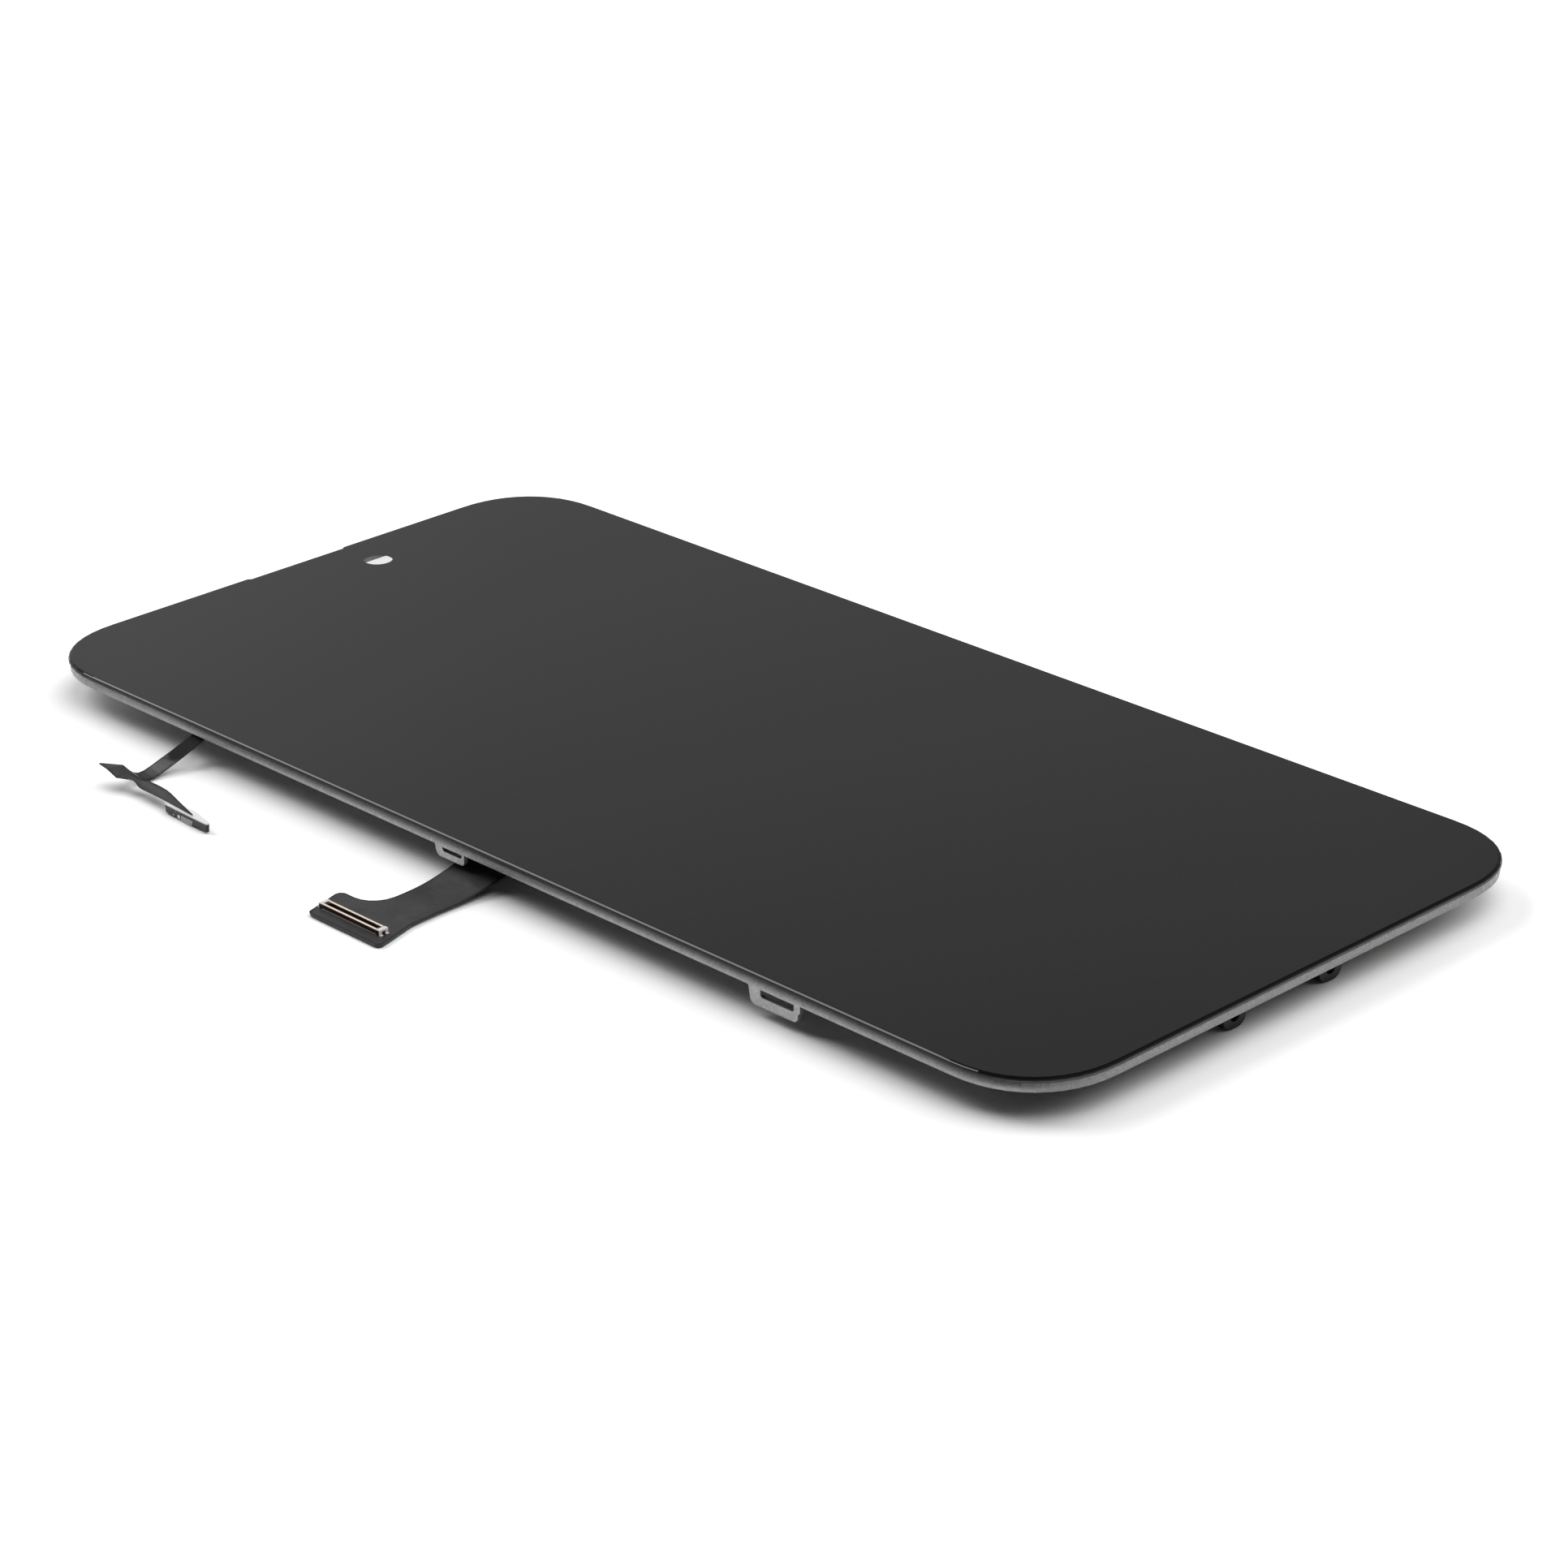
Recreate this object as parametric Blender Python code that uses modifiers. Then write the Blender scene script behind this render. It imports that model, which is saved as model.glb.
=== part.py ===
"""Phone LCD screen assembly, lying face up: cover glass, display stack, backlight, frame and flex circuits.

Units are metres. +Z points out of the screen, +Y points to the earpiece end, and seen from the
front +X is the right side. The origin is the middle of the glass's front face.
"""

import math

import bmesh
import bpy
from mathutils import Matrix

# Cover glass
GLASS_WIDTH = 0.0715
GLASS_LENGTH = 0.1477
GLASS_THICKNESS = 0.0005
GLASS_CORNER_RADIUS = 0.0108
CORNER_EXPONENT = 2.24
GLASS_FRONT_ROUNDING = 0.00038
GLASS_BACK_ROUNDING = 0.00006
EARPIECE_SLOT_X = 0.0004
EARPIECE_SLOT_WIDTH = 0.0130
EARPIECE_SLOT_DEPTH = 0.00028
EARPIECE_SLOT_SLOPE = 0.0005

# Front camera window and the collar that locates the camera behind it
CAMERA_X = 0.00754
CAMERA_FROM_TOP = 0.00605
CAMERA_WINDOW_DIAMETER = 0.0033
CAMERA_COLLAR_INSIDE_X = 0.0060
CAMERA_COLLAR_INSIDE_Y = 0.0040
CAMERA_COLLAR_WALL = 0.0005
CAMERA_COLLAR_HEIGHT = 0.0006
CAMERA_COLLAR_RADIUS = 0.0009

# Thickness of each layer behind the glass, and the glue line left between two layers
LAYER_GAP = 0.00001
MASK_THICKNESS = 0.00002
ADHESIVE_THICKNESS = 0.0001
TOUCH_THICKNESS = 0.00015
FRONT_POLARIZER_THICKNESS = 0.0001
COLOR_FILTER_THICKNESS = 0.0002
TFT_THICKNESS = 0.0002
REAR_POLARIZER_THICKNESS = 0.00008
PRISM_THICKNESS = 0.00006
DIFFUSER_THICKNESS = 0.00006
LIGHT_GUIDE_THICKNESS = 0.0004
REFLECTOR_THICKNESS = 0.00006
TRAY_THICKNESS = 0.0002

# Outline of the display module, with the sensor notch between two shoulders at its top edge
MODULE_SIDE_BORDER = 0.00275
MODULE_TOP_BORDER = 0.0040
MODULE_BOTTOM_BORDER = 0.0067
MODULE_CORNER_RADIUS = 0.0080
NOTCH_SHOULDER_WIDTH = 0.0156
NOTCH_DEPTH = 0.0055
NOTCH_RADIUS = 0.0024
MASK_EDGE_INSET = 0.0004
MASK_OVERLAP = 0.0012
POLARIZER_INSET = 0.0006
BOND_LEDGE = 0.0020
TRAY_WALL_HEIGHT = 0.00055
TRAY_EDGE_ROUNDING = 0.0001
TRAY_CLEARANCE = 0.0001
LIGHT_FRAME_WALL = 0.0009
LIGHT_GUIDE_CLEARANCE = 0.0001

# Light bar
LED_COUNT = 20
LED_SPACE = 0.0006
LED_DEPTH = 0.0006
LED_HEIGHT = 0.0003
LED_STRIP_DEPTH = 0.0013
LED_STRIP_THICKNESS = 0.00008

# Outer frame
FRAME_EDGE_INSET = 0.00015
FRAME_DEPTH = 0.0009
FRAME_GLUE_THICKNESS = 0.00005
FRAME_GLUE_INSET = 0.0003
FRAME_SIDE_CLEARANCE = 0.00035
FRAME_TOP_CLEARANCE = 0.00045
FRAME_FOLD_ROOM = 0.0011
FRAME_RIM_CHAMFER = 0.00008
FRAME_COVE_DEPTH = 0.00018
FRAME_COVE_STEPS = 5
FRAME_LIP_HEIGHT = 0.00033

# Dust mesh of the earpiece, set into the frame's top edge
MESH_LENGTH = 0.0125
MESH_WIDTH = 0.0006
MESH_HEIGHT = 0.0004
MESH_CLEARANCE = 0.00003

# Side clips, each placed from the bottom edge of the glass, and the window cut through it
CLIP_THICKNESS = 0.00045
CLIP_CORNER_RADIUS = 0.0006
MIDDLE_CLIP_FROM_BOTTOM = 0.07875
MIDDLE_CLIP_WIDTH = 0.0044
MIDDLE_CLIP_DROP = 0.0011
MIDDLE_WINDOW_WIDTH = 0.0029
MIDDLE_WINDOW_HEIGHT = 0.00045
LOWER_CLIP_FROM_BOTTOM = 0.03305
LOWER_CLIP_WIDTH = 0.0068
LOWER_CLIP_DROP = 0.00175
LOWER_WINDOW_WIDTH = 0.0044
LOWER_WINDOW_HEIGHT = 0.00076
WINDOW_OFFSET = -0.0004
WINDOW_CORNER_RADIUS = 0.0003
CLIP_SHOULDER_WIDTH = 0.0003
CLIP_SHOULDER_DROP = 0.0006

# Screw lugs at the bottom edge and hooks at the top edge, all down to the same level
STAND_DEPTH = 0.0044
FASTENER_GAP = 0.00001
LUG_X = 0.0068
LUG_FROM_BOTTOM = 0.0034
LUG_THICKNESS = 0.0020
LUG_WIDTH = 0.0032
LUG_CORNER_RADIUS = 0.0012
LUG_FLANGE_WIDTH = 0.0050
LUG_FLANGE_THICKNESS = 0.0003
LUG_HOLE_DIAMETER = 0.0014
LUG_HOLE_HEIGHT = 0.0014
HOOK_X = 0.0190
HOOK_FROM_TOP = 0.0023
HOOK_WIDTH = 0.0040
HOOK_SHEET = 0.0004
HOOK_FLANGE = 0.0012
HOOK_TOE = 0.0012

# Driver film folded round the lower edge of the display glass, and its chip
DRIVER_FILM_WIDTH = 0.0380
DRIVER_FILM_THICKNESS = 0.00005
DRIVER_FILM_BOND = 0.0014
DRIVER_FILM_REAR_LENGTH = 0.0085
DRIVER_CHIP_WIDTH = 0.0190
DRIVER_CHIP_DEPTH = 0.0012
DRIVER_CHIP_HEIGHT = 0.0003
DRIVER_CHIP_FROM_FOLD = 0.0030

# Display flex circuit: its joint and riser on the tray, and its way out at the left side
DISPLAY_FLEX_THICKNESS = 0.00012
DISPLAY_FLEX_JOINT_WIDTH = 0.0420
DISPLAY_FLEX_JOINT_DEPTH = 0.0060
DISPLAY_FLEX_JOINT_OVERLAP = 0.0015
RISER_WIDTH = 0.0120
RISER_FROM_EDGE = 0.01275
RISER_CORNER_RADIUS = 0.0015
EXIT_FROM_BOTTOM = 0.0760
EXIT_WIDTH = 0.0065
EXIT_NARROWING = 0.0008
LIFT_START_FROM_EDGE = 0.00675
LIFT_END_OUT = 0.00475
BEND_STEPS = 10

# Head of the display flex, measured out from the glass edge and along Y from the middle of the way out
HEAD_THROAT_OUT = 0.00625
HEAD_INNER_OUT = 0.0100
HEAD_OUTER_OUT = 0.01525
HEAD_LOW_REACH = 0.00495
HEAD_LOW_SLOPE = 0.0015
HEAD_HIGH_REACH = 0.00735
HEAD_END_SLOPE = 0.0015
HEAD_INNER_RADIUS = 0.0007
HEAD_OUTER_RADIUS = 0.0006
HEAD_THROAT_RADIUS = 0.0028
HEAD_LIFT = 0.0001
STIFFENER_THICKNESS = 0.0002
STIFFENER_EDGE_OUT = 0.00875
STIFFENER_MARGIN = 0.00005

# Parts fixed to the riser of the display flex, placed from the bottom edge of the module
SHIELD_LENGTH = 0.0140
SHIELD_WIDTH = 0.0084
SHIELD_HEIGHT = 0.0006
SHIELD_RADIUS = 0.0008
SHIELD_EDGE_ROUNDING = 0.00015
SHIELD_FROM_BOTTOM = 0.0270
TAPE_WIDTH = 0.0170
TAPE_LENGTH = 0.0100
TAPE_THICKNESS = 0.00006
TAPE_RADIUS = 0.0010
TAPE_FROM_BOTTOM = 0.0520

# Board-to-board connector on the head of the display flex
CONNECTOR_OUT = 0.01334
CONNECTOR_AHEAD = 0.00125
CONNECTOR_WIDTH = 0.0009
CONNECTOR_LENGTH = 0.0090
CONNECTOR_HEIGHT = 0.0005
CONNECTOR_CHANNEL = 0.0005
CONNECTOR_FLOOR = 0.00014
CONTACT_COUNT = 41
CONTACT_PITCH = 0.0002
CONTACT_WIDTH = 0.0001
CONTACT_METAL = 0.00007
CONTACT_FOOT = 0.00006
CONTACT_GAP = 0.00001
CONTACT_RAIL_WIDTH = 0.00024
END_PLATE_WIDTH = 0.0011
END_PLATE_DEPTH = 0.0004
END_PLATE_FOOT = 0.0002
END_PLATE_BEND = 0.00005
END_PLATE_SLOT = 0.0004
END_PLATE_TAB_HEIGHT = 0.00018
CHANNEL_END_WALL = 0.0008

# Touch flex circuit, which leaves the touch sensor through a relief in the frame's left side
TOUCH_FLEX_THICKNESS = 0.0001
TOUCH_FLEX_WIDTH = 0.0018
TOUCH_FLEX_FROM_TOP = 0.02825
TOUCH_RELIEF_DEPTH = 0.00125
TOUCH_RELIEF_MARGIN = 0.0006
TOUCH_EXIT_DROP = 0.0004
TOUCH_EXIT_FROM_EDGE = 0.00055
TOUCH_CREASE_OUT = 0.00345
TOUCH_CREASE_RISE = 0.0011
TOUCH_LOWEST_OUT = 0.00665
TOUCH_LOWEST_RISE = 0.00035
TOUCH_FLEX_TWIST = 0.0003
TOUCH_BEND_START = 0.0004
TOUCH_BEND_END = 0.0003

# Head of the touch flex, measured out from the glass edge and along Y from the middle of its arm
TOUCH_TIP_OUT = 0.01015
TOUCH_TIP_AHEAD = 0.0026
TOUCH_TAB_OUT = 0.0108
TOUCH_TAB_BEHIND = 0.0011
TOUCH_TAB_RISE = 0.0022
TOUCH_HEAD_FAR_OUT = 0.00845
TOUCH_HEAD_NEAR_OUT = 0.00975
TOUCH_HEAD_RISE = 0.00118
TOUCH_BULGE_OUT = 0.00805
TOUCH_BULGE_BEHIND = 0.0031
TOUCH_TAPER_BEHIND = 0.0061
TOUCH_POINT_OUT = 0.01015
TOUCH_POINT_BEHIND = 0.0129
TOUCH_POINT_WIDTH = 0.0001
TOUCH_HEAD_STEPS = 4
TOUCH_WAIST = 0.0003

# Polished plate and connector under the end of the touch flex
TOUCH_PLATE_OUT = 0.00978
TOUCH_PLATE_BEHIND = 0.0119
TOUCH_PLATE_LENGTH = 0.0072
TOUCH_PLATE_WIDTH = 0.00105
TOUCH_PLATE_TAPER = 0.0031
TOUCH_PLATE_TIP = 0.00042
TOUCH_PLATE_THICKNESS = 0.00012
TOUCH_PLATE_RADIUS = 0.00018
TOUCH_PLATE_TURN = -1.5
TOUCH_SLAB_THICKNESS = 0.0003
TOUCH_SOCKET_INSET = 0.00003
TOUCH_SOCKET_WIDTH = 0.00072
TOUCH_SOCKET_HEIGHT = 0.0005
TOUCH_CHANNEL_WIDTH = 0.0003
TOUCH_CHANNEL_LENGTH = 0.0026
TOUCH_CHANNEL_FLOOR = 0.0002
TOUCH_ROW_SHIFT = -0.0001
TOUCH_CONTACT_COUNT = 8
TOUCH_CONTACT_PITCH = 0.00024
TOUCH_CONTACT_FOOT = 0.00006
TOUCH_CONTACT_SLANT = 0.00025

# Facets of round shapes
CORNER_STEPS = 12
FRONT_ROUNDING_STEPS = 6
BACK_ROUNDING_STEPS = 2
FILLET_STEPS = 5
CIRCLE_STEPS = 32
FOLD_STEPS = 10
EDGE_BEVEL_STEPS = 2
EDGE_BEVEL_ANGLE = 60.0
FILLET_LIMIT = 0.9

# Heights worked out from the stack, counted down from the front face of the glass
GLASS_TOP = 0.0
GLASS_LOW = GLASS_TOP - GLASS_THICKNESS
MASK_LOW = GLASS_LOW - LAYER_GAP - MASK_THICKNESS
ADHESIVE_LOW = MASK_LOW - LAYER_GAP - ADHESIVE_THICKNESS
TOUCH_LOW = ADHESIVE_LOW - LAYER_GAP - TOUCH_THICKNESS
FRONT_POLARIZER_LOW = TOUCH_LOW - LAYER_GAP - FRONT_POLARIZER_THICKNESS
COLOR_FILTER_LOW = FRONT_POLARIZER_LOW - LAYER_GAP - COLOR_FILTER_THICKNESS
TFT_LOW = COLOR_FILTER_LOW - LAYER_GAP - TFT_THICKNESS
REAR_POLARIZER_LOW = TFT_LOW - LAYER_GAP - REAR_POLARIZER_THICKNESS
UPPER_PRISM_LOW = REAR_POLARIZER_LOW - LAYER_GAP - PRISM_THICKNESS
LOWER_PRISM_LOW = UPPER_PRISM_LOW - LAYER_GAP - PRISM_THICKNESS
DIFFUSER_LOW = LOWER_PRISM_LOW - LAYER_GAP - DIFFUSER_THICKNESS
LIGHT_GUIDE_LOW = DIFFUSER_LOW - LAYER_GAP - LIGHT_GUIDE_THICKNESS
REFLECTOR_LOW = LIGHT_GUIDE_LOW - LAYER_GAP - REFLECTOR_THICKNESS
TRAY_LOW = REFLECTOR_LOW - LAYER_GAP - TRAY_THICKNESS
FRAME_GLUE_LOW = MASK_LOW - LAYER_GAP - FRAME_GLUE_THICKNESS
FRAME_TOP = FRAME_GLUE_LOW - LAYER_GAP
FRAME_LOW = FRAME_TOP - FRAME_DEPTH
STAND_LOW = GLASS_TOP - STAND_DEPTH
DRIVER_FILM_REAR_HIGH = TRAY_LOW - LAYER_GAP
FLEX_ON_TRAY_HIGH = DRIVER_FILM_REAR_HIGH - DRIVER_FILM_THICKNESS - LAYER_GAP
FLEX_ON_TRAY_LOW = FLEX_ON_TRAY_HIGH - DISPLAY_FLEX_THICKNESS
STIFFENER_LOW = STAND_LOW + HEAD_LIFT
HEAD_FLEX_LOW = STIFFENER_LOW + STIFFENER_THICKNESS + LAYER_GAP
HEAD_FLEX_TOP = HEAD_FLEX_LOW + DISPLAY_FLEX_THICKNESS
CONNECTOR_LOW = HEAD_FLEX_TOP + LAYER_GAP
CONNECTOR_TOP = CONNECTOR_LOW + CONNECTOR_HEIGHT

# Edges worked out from the glass and the module
EDGE_X = -GLASS_WIDTH / 2
GLASS_TOP_Y = GLASS_LENGTH / 2
GLASS_BOTTOM_Y = -GLASS_LENGTH / 2
MODULE_TOP_Y = GLASS_TOP_Y - MODULE_TOP_BORDER
MODULE_BOTTOM_Y = GLASS_BOTTOM_Y + MODULE_BOTTOM_BORDER
MODULE_SIDE_X = GLASS_WIDTH / 2 - MODULE_SIDE_BORDER
FRAME_SIDE_X = GLASS_WIDTH / 2 - FRAME_EDGE_INSET
FRAME_INNER_X = MODULE_SIDE_X + FRAME_SIDE_CLEARANCE
FRAME_INNER_TOP_Y = MODULE_TOP_Y + FRAME_TOP_CLEARANCE
FRAME_INNER_BOTTOM_Y = MODULE_BOTTOM_Y - FRAME_FOLD_ROOM
CAMERA_Y = GLASS_TOP_Y - CAMERA_FROM_TOP
RISER_X = EDGE_X + RISER_FROM_EDGE
EXIT_Y = GLASS_BOTTOM_Y + EXIT_FROM_BOTTOM
CONNECTOR_X = EDGE_X - CONNECTOR_OUT
CONNECTOR_Y = EXIT_Y + CONNECTOR_AHEAD
TOUCH_FLEX_Y = GLASS_TOP_Y - TOUCH_FLEX_FROM_TOP
LIGHT_FRAME_INSET = TRAY_THICKNESS + TRAY_CLEARANCE
LIGHT_GUIDE_INSET = LIGHT_FRAME_INSET + LIGHT_FRAME_WALL + LIGHT_GUIDE_CLEARANCE

assembly = None
cutters = None


def clear_scene():
    """Empty the scene and open the two collections."""
    global assembly, cutters
    for item in list(bpy.data.objects):
        bpy.data.objects.remove(item, do_unlink=True)
    assembly = bpy.data.collections.new("phone_lcd_screen_assembly")
    cutters = bpy.data.collections.new("cutters")
    bpy.context.scene.collection.children.link(assembly)
    bpy.context.scene.collection.children.link(cutters)


def make_material(name, color, roughness, metallic=0.0, transmission=0.0):
    """A Principled material with the colour and finish of one part."""
    material = bpy.data.materials.new(name)
    material.use_nodes = True
    shader = material.node_tree.nodes["Principled BSDF"]
    shader.inputs["Base Color"].default_value = (*color, 1.0)
    shader.inputs["Roughness"].default_value = roughness
    shader.inputs["Metallic"].default_value = metallic
    shader.inputs["Transmission Weight"].default_value = transmission
    return material


def add_object(name, mesh, material):
    """Put a mesh into the assembly under its own name."""
    item = bpy.data.objects.new(name, mesh)
    mesh.materials.clear()
    mesh.materials.append(material)
    assembly.objects.link(item)
    return item


def make_cutter(item):
    """Move an object to the cutters, out of renders."""
    assembly.objects.unlink(item)
    cutters.objects.link(item)
    item.hide_render = True
    item.display_type = "WIRE"
    return item


def boolean(item, other, operation):
    """Cut from or join to an object with the exact solver."""
    modifier = item.modifiers.new(operation.lower() + "_" + other.name, "BOOLEAN")
    modifier.operation = operation
    modifier.object = make_cutter(other)


def rounded_rectangle(half_x, low_y, high_y, radius, exponent=2.0, steps=CORNER_STEPS):
    """Corners follow a superellipse; an exponent of 2 gives plain arcs."""
    centres = (
        (half_x - radius, high_y - radius, 0),
        (radius - half_x, high_y - radius, 1),
        (radius - half_x, low_y + radius, 2),
        (half_x - radius, low_y + radius, 3),
    )
    points = []
    for centre_x, centre_y, quarter in centres:
        for step in range(steps + 1):
            angle = math.pi / 2 * (quarter + step / steps)
            cosine, sine = math.cos(angle), math.sin(angle)
            reach_x = math.copysign(abs(cosine) ** (2 / exponent), cosine)
            reach_y = math.copysign(abs(sine) ** (2 / exponent), sine)
            points.append((centre_x + radius * reach_x, centre_y + radius * reach_y))
    return points


def circle_outline(centre_a, centre_b, diameter):
    turn = 2 * math.pi / CIRCLE_STEPS
    radius = diameter / 2
    return [
        (centre_a + radius * math.cos(turn * step), centre_b + radius * math.sin(turn * step))
        for step in range(CIRCLE_STEPS)
    ]


def filleted(corners, steps=FILLET_STEPS):
    """Round each (a, b, radius) corner of a closed outline with a tangent arc."""
    points = []
    for index, (a, b, radius) in enumerate(corners):
        before_a, before_b, _ = corners[index - 1]
        after_a, after_b, _ = corners[(index + 1) % len(corners)]
        if radius == 0:
            points.append((a, b))
            continue
        back = math.hypot(before_a - a, before_b - b)
        ahead = math.hypot(after_a - a, after_b - b)
        back_a, back_b = (before_a - a) / back, (before_b - b) / back
        ahead_a, ahead_b = (after_a - a) / ahead, (after_b - b) / ahead
        half_angle = math.acos(back_a * ahead_a + back_b * ahead_b) / 2
        radius = min(radius, FILLET_LIMIT * min(back, ahead) * math.tan(half_angle))
        reach = radius / math.tan(half_angle)
        centre_reach = radius / math.sin(half_angle)
        middle = math.hypot(back_a + ahead_a, back_b + ahead_b)
        centre_a = a + centre_reach * (back_a + ahead_a) / middle
        centre_b = b + centre_reach * (back_b + ahead_b) / middle
        start = math.atan2(b + reach * back_b - centre_b, a + reach * back_a - centre_a)
        end = math.atan2(b + reach * ahead_b - centre_b, a + reach * ahead_a - centre_a)
        sweep = (end - start + math.pi) % (2 * math.pi) - math.pi
        for step in range(steps + 1):
            angle = start + sweep * step / steps
            points.append((centre_a + radius * math.cos(angle), centre_b + radius * math.sin(angle)))
    return points


def rectangle(middle_x, middle_y, size_x, size_y, radius):
    half_x, half_y = size_x / 2, size_y / 2
    return filleted([
        (middle_x - half_x, middle_y - half_y, radius),
        (middle_x + half_x, middle_y - half_y, radius),
        (middle_x + half_x, middle_y + half_y, radius),
        (middle_x - half_x, middle_y + half_y, radius),
    ])


def module_outline(inset=0.0, raised_bottom=0.0):
    """Outline of a display layer: rounded corners and the sensor notch at the top."""
    side = MODULE_SIDE_X - inset
    top = MODULE_TOP_Y - inset
    bottom = MODULE_BOTTOM_Y + inset + raised_bottom
    notch_side = MODULE_SIDE_X - NOTCH_SHOULDER_WIDTH + inset
    notch_floor = MODULE_TOP_Y - NOTCH_DEPTH - inset
    corner = max(MODULE_CORNER_RADIUS - inset, NOTCH_RADIUS)
    corners = [
        (side, bottom, corner),
        (side, top, corner),
        (notch_side, top, NOTCH_RADIUS),
        (notch_side, notch_floor, NOTCH_RADIUS),
        (-notch_side, notch_floor, NOTCH_RADIUS),
        (-notch_side, top, NOTCH_RADIUS),
        (-side, top, corner),
        (-side, bottom, corner),
    ]
    return filleted(corners, steps=FILLET_STEPS + 1)


PLANES = {
    "XY": Matrix(((1, 0, 0, 0), (0, 1, 0, 0), (0, 0, 1, 0), (0, 0, 0, 1))),
    "YZ": Matrix(((0, 0, 1, 0), (1, 0, 0, 0), (0, 1, 0, 0), (0, 0, 0, 1))),
    "XZ": Matrix(((1, 0, 0, 0), (0, 0, -1, 0), (0, 1, 0, 0), (0, 0, 0, 1))),
}


def outline_mesh(name, outlines, thickness, matrix):
    """Fill flat outlines as a 2D curve, extrude them to a thickness, and turn the result into a mesh."""
    curve = bpy.data.curves.new(name, "CURVE")
    curve.dimensions = "2D"
    curve.fill_mode = "BOTH"
    curve.extrude = thickness / 2
    for outline in outlines:
        spline = curve.splines.new("POLY")
        spline.points.add(len(outline) - 1)
        for point, (a, b) in zip(spline.points, outline):
            point.co = (a, b, 0.0, 1.0)
        spline.use_cyclic_u = True
    holder = bpy.data.objects.new(name + "_outline", curve)
    assembly.objects.link(holder)
    bpy.context.view_layer.update()
    graph = bpy.context.evaluated_depsgraph_get()
    mesh = bpy.data.meshes.new_from_object(holder.evaluated_get(graph))
    bpy.data.objects.remove(holder, do_unlink=True)
    shape = bmesh.new()
    shape.from_mesh(mesh)
    bmesh.ops.remove_doubles(shape, verts=shape.verts, dist=1e-7)
    bmesh.ops.recalc_face_normals(shape, faces=shape.faces)
    bmesh.ops.transform(shape, matrix=matrix, verts=shape.verts)
    shape.to_mesh(mesh)
    shape.free()
    mesh.name = name
    return mesh


def plate(name, outlines, low, high, material, plane="XY"):
    """A flat piece between two levels; further outlines are holes in the first."""
    turned = PLANES[plane]
    middle = (low + high) / 2
    if plane == "XZ":
        middle = -middle
    matrix = turned @ Matrix.Translation((0.0, 0.0, middle))
    return add_object(name, outline_mesh(name, outlines, high - low, matrix), material)


def lofted(name, rings, material):
    """A closed body through outlines of equal length, each at its own height, capped at both ends."""
    mesh = bpy.data.meshes.new(name)
    shape = bmesh.new()
    loops = [[shape.verts.new((a, b, level)) for a, b in outline] for outline, level in rings]
    for upper, lower in zip(loops, loops[1:]):
        for index, corner in enumerate(upper):
            shape.faces.new((upper[index - 1], corner, lower[index], lower[index - 1]))
    shape.faces.new(loops[0])
    shape.faces.new(loops[-1])
    bmesh.ops.recalc_face_normals(shape, faces=shape.faces)
    shape.to_mesh(mesh)
    shape.free()
    return add_object(name, mesh, material)


def box(name, low, high, material):
    """A square block between two corners, from the cube primitive."""
    mesh = bpy.data.meshes.new(name)
    shape = bmesh.new()
    size = [top - bottom for bottom, top in zip(low, high)]
    middle = [(top + bottom) / 2 for bottom, top in zip(low, high)]
    placed = Matrix.Translation(middle) @ Matrix.Diagonal((*size, 1.0))
    bmesh.ops.create_cube(shape, size=1.0, matrix=placed)
    shape.to_mesh(mesh)
    shape.free()
    return add_object(name, mesh, material)


def solidify(item, thickness):
    modifier = item.modifiers.new("sheet", "SOLIDIFY")
    modifier.thickness = thickness
    modifier.offset = 0.0
    modifier.use_even_offset = True


def smooth_step(value):
    value = min(max(value, 0.0), 1.0)
    return value * value * (3 - 2 * value)


def bent_sheet(name, outline, stations, height, thickness, material):
    """A flat flex outline, creased at the X stations and then bent to a height that follows X."""
    mesh = outline_mesh(name, [outline], 0.0, Matrix.Identity(4))
    shape = bmesh.new()
    shape.from_mesh(mesh)
    for station in stations:
        parts = shape.verts[:] + shape.edges[:] + shape.faces[:]
        bmesh.ops.bisect_plane(shape, geom=parts, dist=1e-8, plane_co=(station, 0, 0), plane_no=(1, 0, 0))
    for vertex in shape.verts:
        vertex.co.z = height(vertex.co.x)
    shape.to_mesh(mesh)
    shape.free()
    item = add_object(name, mesh, material)
    solidify(item, thickness)
    return item


def ribbon(name, strips, thickness, material):
    """Strips lofted through pairs of edge points and welded where they share an edge, then thickened."""
    mesh = bpy.data.meshes.new(name)
    shape = bmesh.new()
    for stations in strips:
        pairs = [(shape.verts.new(one), shape.verts.new(two)) for one, two in stations]
        for (one, two), (next_one, next_two) in zip(pairs, pairs[1:]):
            shape.faces.new((one, two, next_two, next_one))
    bmesh.ops.remove_doubles(shape, verts=shape.verts, dist=1e-7)
    bmesh.ops.recalc_face_normals(shape, faces=shape.faces)
    shape.to_mesh(mesh)
    shape.free()
    item = add_object(name, mesh, material)
    solidify(item, thickness)
    return item


def smoothed(points, parts):
    """Points of a Catmull-Rom curve through the given points, in any number of dimensions."""
    result = []
    last = len(points) - 1
    for index in range(last):
        p0, p1 = points[max(index - 1, 0)], points[index]
        p2, p3 = points[index + 1], points[min(index + 2, last)]
        for part in range(parts):
            t = part / parts
            result.append(tuple(
                b + 0.5 * t * (c - a + t * (2 * a - 5 * b + 4 * c - d + t * (3 * (b - c) + d - a)))
                for a, b, c, d in zip(p0, p1, p2, p3)
            ))
    result.append(tuple(points[last]))
    return result


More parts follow.
